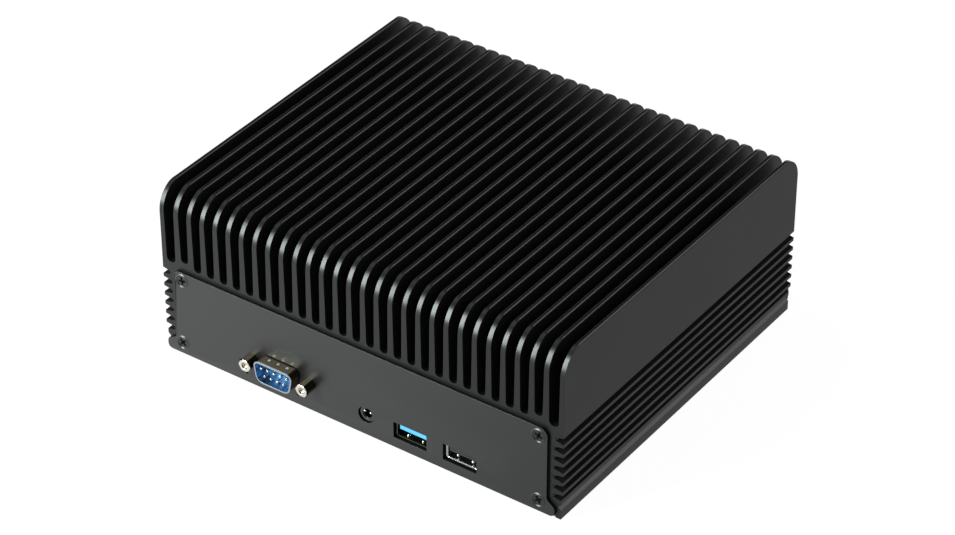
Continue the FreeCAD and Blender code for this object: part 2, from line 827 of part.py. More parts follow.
def make_mount_nuts():
    """Hexagonal press nuts whose spigots fill the base plate's mounting holes."""
    half = size("mount_hole_spacing") / 2
    low = size("base_recess")
    tall = BASE_TOP + size("mount_nut_height") - low
    nuts = []
    for x in (-half, half):
        for y in (DEPTH / 2 - half, DEPTH / 2 + half):
            name = f"mount_nut_{len(nuts) + 1}"
            rim = hexagon(f"{name}_rim", "z", size("mount_nut_across_flats"), size("mount_nut_height"), x, y,
                          BASE_TOP)
            spigot = prism(f"{name}_spigot", "z", 6, size("mount_nut_spigot_radius"), tall, x, y, low)
            bore = cylinder(f"{name}_bore", "z", size("mount_hole_radius"), tall, x, y, low)
            nuts.append(cut(name, fuse(f"{name}_blank", [rim, spigot]), [bore]))
    group("mount_nuts", nuts)


def countersunk_screw(name, axis, face, inward, across, up):
    """One countersunk screw; face is where its head ends and inward, +1 or -1, the way it points."""
    head_radius, shank_radius = size("screw_head_radius"), size("screw_radius")
    head = head_radius - shank_radius
    length = size("screw_length") - size("slide_gap")
    first, last = (head_radius, shank_radius) if inward > 0 else (shank_radius, head_radius)
    shank_start = face if inward > 0 else face - length
    head_start = face if inward > 0 else face - head
    if axis == "y":
        shank = thread(f"{name}_shank", "y", shank_radius, length, across, shank_start, up)
        cap = cone(f"{name}_head", "y", first, last, head, across, head_start, up)
    else:
        shank = thread(f"{name}_shank", "z", shank_radius, length, across, up, shank_start)
        cap = cone(f"{name}_head", "z", first, last, head, across, up, head_start)
    return fuse(name, [shank, cap])


def make_panel_screws():
    """Four countersunk screws for each end panel and four for the base plate."""
    for label, face, inward in (("front_panel_screws", -PANEL, 1), ("rear_panel_screws", DEPTH + PANEL, -1)):
        screws = [countersunk_screw(f"{label}_{number}", "y", face, inward, x, z)
                  for number, (x, z) in enumerate(panel_screw_places(), start=1)]
        group(label, screws)
    screws = [countersunk_screw(f"base_screw_{number}", "z", size("base_recess"), 1, x, y)
              for number, (x, y) in enumerate(base_screw_places(), start=1)]
    group("base_plate_screws", screws)


def make_rubber_feet():
    """Four stepped rubber feet stuck under the base plate."""
    feet = []
    inset_x = HALF_WIDTH - size("foot_side_inset")
    for x in (-inset_x, inset_x):
        for y in (size("foot_end_inset"), DEPTH - size("foot_end_inset")):
            name = f"foot_{len(feet) + 1}"
            tall = size("foot_reach") + size("base_recess")
            feet.append(cone(name, "z", size("foot_tip_radius"), size("foot_radius"), tall, x, y,
                             -size("foot_reach")))
    group("rubber_feet", feet)


# ---------------------------------------------------------------- mainboard


def standoff_places():
    """Where pillars carry the mainboard."""
    inset = size("standoff_inset")
    return [(side * (BOARD_HALF - inset), y) for side in (-1, 1)
            for y in (size("board_end_gap") + inset, DEPTH - size("board_end_gap") - inset)]


def make_mainboard():
    """The mainboard, drilled for its pillars."""
    body = new_body("mainboard")
    outline = new_sketch(body, "outline", "XY_Plane", BOARD_UNDERSIDE)
    end = size("board_end_gap")
    draw_polygon(outline, rectangle(-BOARD_HALF, BOARD_HALF, end, DEPTH - end))
    pad(body, outline, size("board_thickness"))
    holes = new_sketch(body, "holes", "XY_Plane", BOARD_UNDERSIDE)
    for x, y in standoff_places() + heat_leg_places():
        draw_thread_hole(holes, x, y, size("screw_radius"))
    pocket(body, holes)
    keep(body)


def make_standoffs():
    """Hexagonal pillars pressed on the base plate, and the screws of the mainboard.

    Four screws go down into the pillars and four of the same kind go up into the heat block's legs.
    """
    pillars, screws = [], []
    for number, (x, y) in enumerate(standoff_places(), start=1):
        tall = BOARD_UNDERSIDE - BASE_TOP
        post = hexagon(f"standoff_{number}_post", "z", size("standoff_across_flats"), tall, x, y, BASE_TOP)
        bore = thread(f"standoff_{number}_bore", "z", size("screw_radius") + size("fit_gap"), tall, x, y,
                      BASE_TOP)
        pillars.append(cut(f"standoff_{number}", post, [bore]))
        screws.append(board_screw(f"board_screw_{number}", x, y, BOARD_TOP, -1))
    for number, (x, y) in enumerate(heat_leg_places(), start=1):
        screws.append(board_screw(f"heat_screw_{number}", x, y, BOARD_UNDERSIDE, 1))
    group("board_standoffs", pillars)
    group("board_screws", screws)


def board_screw(name, x, y, seat, inward):
    """One hexagon head screw of the mainboard; seat is what its head rests on, inward the way it points."""
    head_height, length = size("board_screw_head_height"), size("board_screw_length")
    head_start = seat if inward < 0 else seat - head_height
    shank_start = seat - length if inward < 0 else seat
    head = hexagon(f"{name}_head", "z", size("board_screw_across_flats"), head_height, x, y, head_start)
    shank = thread(f"{name}_shank", "z", size("screw_radius"), length, x, y, shank_start)
    return fuse(name, [head, shank])


def block(label, across, width, front, depth, low, height):
    """A rectangular block centred at across, from its front, its foot and its three sizes."""
    half = formula(width) / 2
    return box(label, across - half, across + half, front, front + depth, low, low + height)


def finish(thing, label):
    """Give a single piece its Label and keep it as a sub-part."""
    thing.Label = label
    return keep(thing)


# ---------------------------------------------------------------- serial port


def serial_body(label, grow, start, length):
    """A D-shaped block grown from the serial shell's outline, from start towards the rear."""
    body = new_body(label)
    outline = new_sketch(body, "outline", "XZ_Plane", -start)
    corners = serial_outline(grow)
    draw_polygon(outline, corners)
    pad(body, outline, length, backwards=True)
    round_edges(body, 1, corners, size("serial_shell_corner") + grow, "corners")
    return body


def serial_pin_places():
    """Five pins above four, seen from the front."""
    middle, pitch = size("serial_across"), size("serial_pin_pitch")
    places = []
    for count, rise in ((5, size("serial_row_pitch") / 2), (4, -size("serial_row_pitch") / 2)):
        for index in range(count):
            places.append((middle + pitch * (index - (count - 1) / 2), SERIAL_MIDDLE + rise))
    return places


def make_serial_shell():
    """The drawn metal shell: a D-shaped tube on its flange."""
    middle, wall = size("serial_across"), size("serial_shell_wall")
    half, rise = size("serial_flange_width") / 2, size("serial_flange_height") / 2
    back = SERIAL_FLANGE_FACE + size("serial_flange_thickness")
    outside = serial_body("serial_outside", 0, SERIAL_RIM, size("serial_shell_reach"))
    flange = box("serial_flange", middle - half, middle + half, SERIAL_FLANGE_FACE, back,
                 SERIAL_MIDDLE - rise, SERIAL_MIDDLE + rise)
    tools = [serial_body("serial_inside", -wall, SERIAL_RIM, back - SERIAL_RIM)]
    for side, word in ((-1, "left"), (1, "right")):
        tools.append(thread(f"{word}_flange_hole", "y", size("jackscrew_shank_radius") + size("fit_gap"),
                            size("serial_flange_thickness"),
                            middle + side * size("serial_screw_spacing") / 2, SERIAL_FLANGE_FACE,
                            SERIAL_MIDDLE))
    finish(cut("serial_shape", fuse("serial_blank", [outside, flange]), tools), "serial_shell")


def make_serial_insulator():
    """The blue insulator that fills the shell behind the pins' free ends."""
    wall = size("serial_shell_wall") + size("fit_gap")
    front = SERIAL_RIM + size("serial_face_depth")
    back = SERIAL_FLANGE_FACE + size("serial_flange_thickness")
    body = serial_body("serial_insulator", -wall, front, back - front)
    open_pin_slots(body, front)
    keep(body)


def open_pin_slots(body, front):
    """Open the nine square holes that the pins' square tails pass through."""
    holes = new_sketch(body, "pin_holes", "XZ_Plane", -front)
    half = size("serial_tail_width") / 2 + size("fit_gap")
    for x, z in serial_pin_places():
        draw_polygon(holes, rectangle(x - half, x + half, z - half, z + half))
    pocket(body, holes)


def make_serial_carrier():
    """The black block behind the flange that stands on the mainboard."""
    body = new_body("serial_carrier")
    front = SERIAL_FLANGE_FACE + size("serial_flange_thickness")
    outline = new_sketch(body, "outline", "XZ_Plane", -front)
    middle = size("serial_across")
    half, rise = size("serial_flange_width") / 2, size("serial_flange_height") / 2
    draw_polygon(outline, rectangle(middle - half, middle + half, BOARD_TOP, SERIAL_MIDDLE + rise))
    pad(body, outline, size("serial_body_depth"), backwards=True)
    open_pin_slots(body, front)
    shanks = new_sketch(body, "shank_holes", "XZ_Plane", -front)
    for side in (-1, 1):
        draw_thread_hole(shanks, middle + side * size("serial_screw_spacing") / 2, SERIAL_MIDDLE,
                         size("jackscrew_shank_radius"))
    pocket(body, shanks, size("serial_body_depth") / 2)
    keep(body)


def make_serial_pins():
    """Nine pins: eight-sided where a plug takes them, square behind, and turned down to the mainboard."""
    tip = SERIAL_RIM + size("serial_pin_setback")
    face = SERIAL_RIM + size("serial_face_depth")
    carrier_back = SERIAL_FLANGE_FACE + size("serial_flange_thickness") + size("serial_body_depth")
    half = size("serial_tail_width") / 2
    pins = []
    for number, (x, z) in enumerate(serial_pin_places(), start=1):
        name = f"serial_pin_{number}"
        row = 0 if number > 5 else 1
        turn = carrier_back + size("serial_tail_width") + row * size("serial_row_pitch")
        rod = prism(f"{name}_rod", "y", 8, size("serial_pin_radius"), face - tip, x, tip, z)
        tail = box(f"{name}_tail", x - half, x + half, face, turn + half, z - half, z + half)
        leg = box(f"{name}_leg", x - half, x + half, turn - half, turn + half, BOARD_TOP, z)
        pins.append(fuse(name, [rod, tail, leg]))
    group("serial_pins", pins)


def make_serial_jackscrews():
    """Two hexagonal jackscrews that clamp the panel to the flange, threaded for a plug's screws."""
    screws = []
    length = (PANEL + SERIAL_FLANGE_FACE + size("serial_flange_thickness") + size("serial_body_depth") / 2
              - size("slide_gap"))
    for side, word in ((-1, "left"), (1, "right")):
        x = size("serial_across") + side * size("serial_screw_spacing") / 2
        name = f"{word}_jackscrew"
        head = hexagon(f"{name}_head", "y", size("jackscrew_across_flats"), size("jackscrew_reach"), x,
                       JACKSCREW_TIP, SERIAL_MIDDLE)
        shank = thread(f"{name}_shank", "y", size("jackscrew_shank_radius"), length, x, -PANEL,
                       SERIAL_MIDDLE)
        bore = cylinder(f"{name}_bore", "y", size("jackscrew_bore_radius"), size("jackscrew_bore_depth"), x,
                        JACKSCREW_TIP, SERIAL_MIDDLE)
        screws.append(cut(name, fuse(f"{name}_blank", [head, shank]), [bore]))
    group("serial_jackscrews", screws)


# ---------------------------------------------------------------- front sockets


def make_sound_jack():
    """A sound jack: a moulded body whose barrel stands in the panel's hole, and its contact sleeve."""
    x, z = size("sound_across"), BOARD_TOP + size("sound_above_board")
    front = size("slide_gap")
    nose = size("sound_barrel_setback") - PANEL
    lining = size("sound_bore_radius") + size("sound_sleeve_wall")
    base = block("sound_block", x, size("sound_body_width"), front, size("sound_body_depth"), BOARD_TOP,
                 size("sound_body_height"))
    barrel = cylinder("sound_barrel", "y", size("sound_barrel_radius"), front - nose, x, nose, z)
    bore = cylinder("sound_bore", "y", lining, size("sound_body_depth"), x, nose, z)
    finish(cut("sound_body", fuse("sound_blank", [base, barrel]), [bore]), "sound_jack_body")
    start = nose + size("sound_sleeve_wall")
    length = size("sound_sleeve_length")
    outside = cylinder("sleeve_outside", "y", lining, length, x, start, z)
    inside = cylinder("sleeve_inside", "y", size("sound_bore_radius"), length, x, start, z)
    finish(cut("sound_sleeve", outside, [inside]), "sound_jack_sleeve")


def usb_mouth(name, middle, rim, low, depth, inward):
    """The tongue on its back block and the four contacts of one USB mouth; inward is +1 or -1 along Y."""
    wall = size("usb_wall")
    width = size("usb_width") - wall * 2 - size("fit_gap") * 2
    height = size("usb_height") - wall * 2 - size("fit_gap") * 2
    floor = low + wall + size("fit_gap")
    start = size("usb_mouth_depth")
    back = start + size("usb_tongue_length")
    tongue_top = low + size("usb_height") - wall - size("usb_tongue_drop")
    tongue_foot = tongue_top - size("usb_tongue_thickness")

    def along(label, across, wide, near, far, foot, tall):
        """Place a block between two depths counted from the rim."""
        front = rim + near if inward > 0 else rim - far
        return block(label, across, wide, front, formula(far) - near, foot, tall)

    rear_block = along(f"{name}_back", middle, width, back, depth, floor, height)
    tongue = along(f"{name}_blade", middle, size("usb_tongue_width"), start, back, tongue_foot,
                   size("usb_tongue_thickness"))
    insert = fuse(f"{name}_insert", [rear_block, tongue])
    contacts = []
    inner = size("usb_inner_pitch") / 2
    for place_across in (-inner - size("usb_outer_pitch"), -inner, inner, inner + size("usb_outer_pitch")):
        contacts.append(along(f"{name}_contact_{len(contacts) + 1}", middle + place_across,
                              size("usb_contact_width"), start + size("usb_mouth_depth"),
                              start + size("usb_mouth_depth") + size("usb_contact_length"),
                              tongue_foot - size("usb_contact_thickness"), size("usb_contact_thickness")))
    return insert, contacts


def make_front_usb(name):
    """One USB socket behind the front panel: folded shell, insert with its tongue, contacts."""
    middle = size(f"{name}_across")
    rim = size("usb_setback") - PANEL
    wall = size("usb_wall")
    outside = block(f"{name}_outside", middle, size("usb_width"), rim, size("usb_depth"), BOARD_TOP,
                    size("usb_height"))
    inside = block(f"{name}_inside", middle, size("usb_width") - wall * 2, rim, size("usb_depth"),
                   BOARD_TOP + wall, size("usb_height") - wall * 2)
    finish(cut(f"{name}_shape", outside, [inside]), f"{name}_shell")
    insert, contacts = usb_mouth(name, middle, rim, BOARD_TOP, size("usb_depth"), 1)
    finish(insert, f"{name}_tongue")
    group(f"{name}_contacts", contacts)


# ---------------------------------------------------------------- rear sockets


def make_usb_stack():
    """Two USB mouths one above the other in one shell at the rear."""
    middle, wall = rear_place("stack"), size("usb_wall")
    depth = size("stack_depth")
    outside = block("stack_outside", middle, size("usb_width"), REAR_FACE - depth, depth, BOARD_TOP,
                    size("stack_height"))
    mouths, inserts, contacts = [], [], []
    upper_foot = BOARD_TOP + size("stack_height") - size("usb_height")
    for level, foot in (("lower", BOARD_TOP), ("upper", upper_foot)):
        mouths.append(block(f"stack_{level}_mouth", middle, size("usb_width") - wall * 2, REAR_FACE - depth,
                            depth, foot + wall, size("usb_height") - wall * 2))
        insert, strips = usb_mouth(f"stack_{level}", middle, REAR_FACE, foot, depth, -1)
        inserts.append(insert)
        contacts.extend(strips)
    finish(cut("stack_shape", outside, mouths), "usb_stack_shell")
    group("usb_stack_tongues", inserts)
    group("usb_stack_contacts", contacts)


def make_power_jack():
    """The socket for the supply's plug: a moulded block with a round bore and its centre pin."""
    middle, depth = rear_place("power"), size("power_depth")
    height = BOARD_TOP + size("power_height") / 2
    bore_depth = size("power_bore_depth")
    base = block("power_block", middle, size("power_width"), REAR_FACE - depth, depth, BOARD_TOP,
                 size("power_height"))
    bore = cylinder("power_bore", "y", size("power_bore_radius"), bore_depth, middle, REAR_FACE - bore_depth,
                    height)
    finish(cut("power_shape", base, [bore]), "power_jack_body")
    pin = cylinder("power_pin", "y", size("power_pin_radius"), bore_depth - size("rear_reach"), middle,
                   REAR_FACE - bore_depth, height)
    finish(pin, "power_jack_pin")


def make_lan_sockets():
    """Two network sockets: folded shells, moulded inserts with a stepped mouth, eight contacts each."""
    depth, wall = size("lan_depth"), size("lan_wall")
    front = REAR_FACE - depth
    mouth_low = BOARD_TOP + size("lan_mouth_rise")
    mouth_front = REAR_FACE - size("lan_mouth_depth")
    shells, inserts, contacts = [], [], []
    for side in ("left", "right"):
        name = f"lan_{side}"
        middle = rear_place(name)
        outside = block(f"{name}_outside", middle, size("lan_width"), front, depth, BOARD_TOP,
                        size("lan_height"))
        inside = block(f"{name}_inside", middle, size("lan_width") - wall * 2, front + wall, depth - wall,
                       BOARD_TOP, size("lan_height") - wall)
        shells.append(cut(f"{name}_shell", outside, [inside]))
        filling = block(f"{name}_filling", middle, size("lan_width") - wall * 2, front + wall, depth - wall,
                        BOARD_TOP, size("lan_height") - wall)
        mouth = block(f"{name}_mouth", middle, size("lan_mouth_width"), mouth_front, size("lan_mouth_depth"),
                      mouth_low, size("lan_mouth_height"))
        latch = block(f"{name}_latch", middle, size("lan_latch_width"), mouth_front, size("lan_mouth_depth"),
                      mouth_low - size("lan_latch_height"), size("lan_latch_height"))
        inserts.append(cut(f"{name}_insert", filling, [mouth, latch]))
        top = mouth_low + size("lan_mouth_height")
        for index in range(8):
            across = middle + size("lan_contact_pitch") * (index - 3.5)
            contacts.append(block(f"{name}_contact_{index + 1}", across, size("lan_contact_width"),
                                  mouth_front, size("lan_contact_length"), top - size("lan_contact_height"),
                                  size("lan_contact_height")))
    group("lan_shells", shells)
    group("lan_inserts", inserts)
    group("lan_contacts", contacts)


def video_outline(middle, wall):
    """The video shell's outline: a flat slot with bevelled lower corners."""
    half = size("video_width") / 2 - wall
    low, high = BOARD_TOP + wall, BOARD_TOP + size("video_height") - wall
    bevel = size("video_bevel")
    return [(middle - half, high), (middle - half, low + bevel), (middle - half + bevel, low),
            (middle + half - bevel, low), (middle + half, low + bevel), (middle + half, high)]


def make_video_socket():
    """The video socket: a bevelled shell that is closed at its back, and the tongue inside it."""
    body = new_body("video_shell")
    middle, depth = rear_place("video"), size("video_depth")
    wall = size("video_wall")
    outline = new_sketch(body, "outline", "XZ_Plane", -REAR_FACE)
    draw_polygon(outline, video_outline(middle, 0))
    pad(body, outline, depth)
    inside = new_sketch(body, "inside", "XZ_Plane", -REAR_FACE)
    draw_polygon(inside, video_outline(middle, wall))
    pocket(body, inside, depth - wall, True)
    keep(body)
    tongue_low = BOARD_TOP + (size("video_height") - size("video_tongue_thickness")) / 2
    tongue = block("video_blade", middle, size("video_tongue_width"), REAR_FACE - depth + wall,
                   size("video_tongue_length"), tongue_low, size("video_tongue_thickness"))
    finish(tongue, "video_tongue")


# ---------------------------------------------------------------- inside the housing


def heat_leg_places():
    """Where the heat block's four legs stand on the mainboard."""
    reach = size("heat_block_size") / 2 - size("heat_block_leg_inset")
    return [(size("processor_across") + across * reach, size("processor_setback") + along * reach)
            for across in (-1, 1) for along in (-1, 1)]


def make_heat_path():
    """The processor, the block that lifts its heat to the fins and two thermal pads."""
    x, y = size("processor_across"), size("processor_setback")
    half, chip = size("heat_block_size") / 2, size("processor_size")
    chip_top = BOARD_TOP + size("processor_height")
    gap = size("pad_thickness")
    low, high = chip_top + gap, ROOF_UNDERSIDE - gap
    leg_width = size("heat_block_leg_inset") * 2
    finish(block("processor_chip", x, chip, y - chip / 2, chip, BOARD_TOP, size("processor_height")),
           "processor")
    legs, bores = [block("heat_mass", x, half * 2, y - half, half * 2, low, high - low)], []
    for number, (across, along) in enumerate(heat_leg_places(), start=1):
        legs.append(block(f"heat_leg_{number}", across, leg_width, along - leg_width / 2, leg_width,
                          BOARD_TOP, low - BOARD_TOP))
        bores.append(thread(f"heat_bore_{number}", "z", size("screw_radius") + size("fit_gap"),
                            size("board_screw_length"), across, along, BOARD_TOP))
    finish(cut("heat_shape", fuse("heat_blank", legs), bores), "heat_block")
    pads = [block("lower_pad", x, chip, y - chip / 2, chip, chip_top, gap),
            block("upper_pad", x, half * 2, y - half, half * 2, high, gap)]
    group("thermal_pads", pads)


def make_memory():
    """A memory module in its slotted socket, lying flat over the mainboard."""
    middle, front = size("memory_across"), size("memory_setback")
    width, thick = size("memory_width"), size("memory_thickness")
    depth = size("memory_socket_depth")
    low = BOARD_TOP + size("memory_rise")
    clear = size("slide_gap")
    arm_width = size("memory_arm_width")
    wide = width + clear * 2 + arm_width * 2
    bar_front = front - depth + size("memory_insertion")
    bar = block("memory_bar", middle, wide, bar_front, depth, BOARD_TOP, size("socket_height"))
    arms = [block(f"memory_arm_{word}", middle + side * (wide - arm_width) / 2, arm_width, bar_front + depth,
                  size("memory_arm_length"), BOARD_TOP, size("socket_height"))
            for side, word in ((-1, "left"), (1, "right"))]
    slot = block("memory_slot", middle, width + clear * 2, front - clear, size("memory_insertion") + clear,
                 low - size("fit_gap"), thick + size("fit_gap") * 2)
    finish(cut("memory_holder", fuse("memory_frame", [bar] + arms), [slot]), "memory_socket")
    finish(block("memory_card", middle, width, front, size("memory_depth"), low, thick), "memory_module")
    chip_front = front + size("chip_pitch") - size("chip_depth") / 2
    chips = [block(f"memory_chip_{number + 1}", middle + size("chip_pitch") * (number - 1.5),
                   size("chip_width"), chip_front, size("chip_depth"), low + thick, size("chip_height"))
             for number in range(4)]
    group("memory_chips", chips)


def make_storage():
    """A storage card in its socket, held down by a clip at its far end."""
    middle, front = BOARD_HALF - size("storage_side_inset"), size("storage_setback")
    width, thick = size("storage_width"), size("storage_thickness")
    low = BOARD_TOP + size("storage_rise")
    end = front + size("storage_length")
    clear = size("slide_gap")
    depth = size("storage_socket_depth")
    bar = block("storage_bar", middle, width + clear * 4, front - depth / 2, depth, BOARD_TOP,
                size("storage_socket_height"))
    slot = block("storage_slot", middle, width + clear * 2, front - clear, depth / 2 + clear,
                 low - size("fit_gap"), thick + size("fit_gap") * 2)
    finish(cut("storage_holder", bar, [slot]), "storage_socket")
    finish(block("storage_card", middle, width, front, size("storage_length"), low, thick), "storage_module")
    clip = size("storage_clip_depth")
    foot = block("clip_foot", middle, size("storage_clip_width"), end - clip, clip, BOARD_TOP,
                 size("storage_rise"))
    back = block("clip_back", middle, size("storage_clip_width"), end, clip / 2, BOARD_TOP,
                 size("storage_socket_height"))
    lip = block("clip_lip", middle, size("storage_clip_width"), end - clip / 2, clip, low + thick,
                size("storage_socket_height") - size("storage_rise") - thick)
    finish(fuse("clip_shape", [foot, back, lip]), "storage_clip")
    chips = [block(f"storage_chip_{number}", middle, size("chip_width"),
                   front + size("chip_pitch") * number, size("chip_depth"), low + thick, size("chip_height"))
             for number in (1, 2, 3)]
    group("storage_chips", chips)


def make_clock_cell():
    """The clock's coin cell in its square tray."""
    x = size("cell_side_inset") - BOARD_HALF
    y, radius = size("cell_setback"), size("cell_radius")
    seat_half = radius + size("slide_gap")
    outer = seat_half + size("cell_holder_rim")
    floor = size("cell_holder_floor")
    base = block("cell_base", x, outer * 2, y - outer, outer * 2, BOARD_TOP, size("cell_holder_height"))
    seat = block("cell_seat", x, seat_half * 2, y - seat_half, seat_half * 2, BOARD_TOP + floor,
                 size("cell_holder_height") - floor)
    finish(cut("cell_shape", base, [seat]), "coin_cell_holder")
    finish(cylinder("cell", "z", radius, size("cell_thickness"), x, y, BOARD_TOP + floor), "coin_cell")


def make_chokes():
    """Chokes of the processor's supply, in a row beside the heat block."""
    chokes = [block(f"choke_{step + 1}", size("choke_across"), size("choke_size"),
                    size("choke_setback") + size("choke_pitch") * step, size("choke_size"), BOARD_TOP,
                    size("choke_height"))
              for step in range(3)]
    group("chokes", chokes)


# ---------------------------------------------------------------- build, check and write


def build_all():
    """Make every sub-part from the outside in."""
    make_housing()
    make_front_panel()
    make_rear_panel()
    make_base_plate()
    make_mount_nuts()
    make_panel_screws()
    make_rubber_feet()
    make_mainboard()
    make_standoffs()
    make_serial_shell()
    make_serial_insulator()
    make_serial_carrier()
    make_serial_pins()
    make_serial_jackscrews()
    make_sound_jack()
    make_front_usb("usb_fast")
    make_front_usb("usb_plain")
    make_usb_stack()
    make_power_jack()
    make_lan_sockets()
    make_video_socket()
    make_heat_path()
    make_memory()
    make_storage()
    make_clock_cell()
    make_chokes()


def check_all():
    """Stop if any document object failed or any sub-part's shape is empty or unsound."""
    DOCUMENT.recompute()
    for thing in DOCUMENT.Objects:
        if "Invalid" in thing.State or "Error" in thing.State:
            raise RuntimeError(f"{thing.Name} failed: {thing.State}")
    for part in SUBPARTS:
        if part.Shape.isNull() or not part.Shape.isValid() or not part.Shape.Solids:
            raise RuntimeError(f"{part.Label} has no sound solid")


def write_all():
    """Write each sub-part to its own STEP file."""
    os.makedirs("parts", exist_ok=True)
    for part in SUBPARTS:
        part.Shape.exportStep(f"parts/{part.Label}.step")
        print(f"{part.Label}: {len(part.Shape.Solids)} solid(s), {part.Shape.Volume:.0f} mm3")


build_all()
check_all()
write_all()
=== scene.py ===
# %% [markdown]
# A fanless industrial computer, dressed for a studio picture.
# The machine is one black anodised aluminium housing with fins on top and grooves in its sides, closed by
# two flat end panels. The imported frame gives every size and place, so this lesson only adds what a frame
# leaves plain: soft edges, folded metal sockets, screws with their recesses, and finishes.

# %% Frame and libraries
import json
import math
import bmesh
import bpy
from mathutils import Matrix, Vector


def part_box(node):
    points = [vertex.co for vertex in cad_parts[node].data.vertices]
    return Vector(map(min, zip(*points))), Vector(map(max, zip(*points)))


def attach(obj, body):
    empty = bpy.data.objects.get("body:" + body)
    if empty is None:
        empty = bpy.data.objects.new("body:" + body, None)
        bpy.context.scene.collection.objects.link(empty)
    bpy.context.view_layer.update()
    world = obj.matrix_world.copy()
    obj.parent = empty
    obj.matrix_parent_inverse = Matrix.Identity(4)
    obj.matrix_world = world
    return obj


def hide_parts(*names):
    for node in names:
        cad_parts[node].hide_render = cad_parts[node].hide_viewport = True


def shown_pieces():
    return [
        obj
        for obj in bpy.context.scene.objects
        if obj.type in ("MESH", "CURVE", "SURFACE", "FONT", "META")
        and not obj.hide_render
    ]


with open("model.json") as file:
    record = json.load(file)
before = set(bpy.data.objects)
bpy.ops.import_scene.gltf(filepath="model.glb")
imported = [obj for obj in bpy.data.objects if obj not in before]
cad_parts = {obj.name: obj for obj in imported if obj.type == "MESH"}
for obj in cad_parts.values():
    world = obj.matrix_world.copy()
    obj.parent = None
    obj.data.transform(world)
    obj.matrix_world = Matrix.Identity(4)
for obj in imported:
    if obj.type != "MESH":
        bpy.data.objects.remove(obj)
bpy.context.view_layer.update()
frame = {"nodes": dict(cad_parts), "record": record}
MM = 0.001

# %% [markdown]
# Everything is modelled in metres in the frame's own axes: X to the right, Y from front to rear, Z up.
# The housing's corners are read from the frame here, because most places are measured from them. A step
# that belongs to another node reads that node's box itself.

# %% Places read from the frame
housing_low, housing_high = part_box("finned_housing")
FRONT, REAR = housing_low.y, housing_high.y
BOTTOM, TOP = housing_low.z, housing_high.z
HALF_WIDTH = housing_high.x
print("housing", [round(v / MM, 1) for v in housing_high - housing_low], "mm")

# %% [markdown]
# A modelling operator acts on all that is selected, and a loaded frame is selected all over. So each step
# first leaves nothing selected, or only its own piece. A new block is added at its size and place, and then
# both are baked into its mesh, so that a finished piece sits at the origin as the frame's nodes do.

# %% Selecting, settling and adding a block
def deselect():
    """Leave nothing selected, so that an operator acts only on its own piece."""
    if bpy.context.object and bpy.context.object.mode != "OBJECT":
        bpy.ops.object.mode_set(mode="OBJECT")
    bpy.ops.object.select_all(action="DESELECT")


def activate(piece):
    """Make one piece the only selected and active one."""
    deselect()
    piece.select_set(True)
    bpy.context.view_layer.objects.active = piece


def settle(piece):
    """Bake the piece's place, turn and scale into its mesh."""
    activate(piece)
    bpy.ops.object.transform_apply(location=True, rotation=True, scale=True)
    return piece


def add_block(name, low, high):
    """Add a cube that fills the box between two corners."""
    deselect()
    low, high = Vector(low), Vector(high)
    bpy.ops.mesh.primitive_cube_add(size=1.0, location=(low + high) / 2)
    piece = bpy.context.object
    piece.name = name
    piece.scale = high - low
    return settle(piece)


print("block helpers ready")

# %% [markdown]
# By hand, edges are picked with the mouse. In code they are picked by where they lie: a test is given the
# middle and the direction of each corner, edge or face, and says whether it belongs to the selection. What
# is picked is most often rounded, so that has a helper of its own.


# %% Choosing and rounding edges
def choose(piece, kind, test):
    """Enter edit mode and select the corners, edges or faces whose middle and direction pass a test."""
    activate(piece)
    bpy.ops.object.mode_set(mode="EDIT")
    bpy.ops.mesh.select_mode(type=kind)
    bpy.ops.mesh.select_all(action="DESELECT")
    shape = bmesh.from_edit_mesh(piece.data)
    if kind == "EDGE":
        for edge in shape.edges:
            a, b = (vertex.co for vertex in edge.verts)
            edge.select_set(bool(test((a + b) / 2, (b - a).normalized())))
    elif kind == "VERT":
        for vertex in shape.verts:
            vertex.select_set(bool(test(vertex.co, vertex.normal)))
    else:
        for face in shape.faces:
            face.select_set(bool(test(face.calc_center_median(), face.normal)))
    bmesh.update_edit_mesh(piece.data)


def leave():
    """Go back to object mode."""
    bpy.ops.object.mode_set(mode="OBJECT")


def round_edges(piece, test, offset, segments):
    """Bevel the edges that pass a test."""
    choose(piece, "EDGE", test)
    bpy.ops.mesh.bevel(offset=offset, offset_type="OFFSET", segments=segments, affect="EDGES",
                       clamp_overlap=False)
    leave()


print("edge helpers ready")

# %% [markdown]
# The housing is one extrusion, machined afterwards. On the real one the fins leave the die with round tops,
# and a mill then rounds their front and rear ends to a radius of ten millimetres. The two outlines are
# kept apart here in the same way. One block carries the outline seen from the front, another the outline
# seen from the side, and their intersection has both. A single block bevelled twice would fold at the
# corners where the two radii meet.


# %% Shapes that cut, join or meet
def apply_all(piece):
    """Apply the piece's modifiers from first to last."""
    activate(piece)
    for modifier in list(piece.modifiers):
        bpy.ops.object.modifier_apply(modifier=modifier.name)


def combine(piece, other, operation):
    """Cut, join or intersect a piece with another shape, and remove that shape."""
    modifier = piece.modifiers.new("combine", "BOOLEAN")
    modifier.operation = operation
    modifier.solver = "EXACT"
    modifier.object = other
    apply_all(piece)
    bpy.data.objects.remove(other)


print("boolean helper ready")

# %% Housing block
FIN_END_RADIUS = 10 * MM
OUTER_EDGE = 0.9 * MM
# Cutters run this far past the metal's ends, and out to a plane beyond its flanks.
REACH = 5 * MM
OUTSIDE = 90 * MM

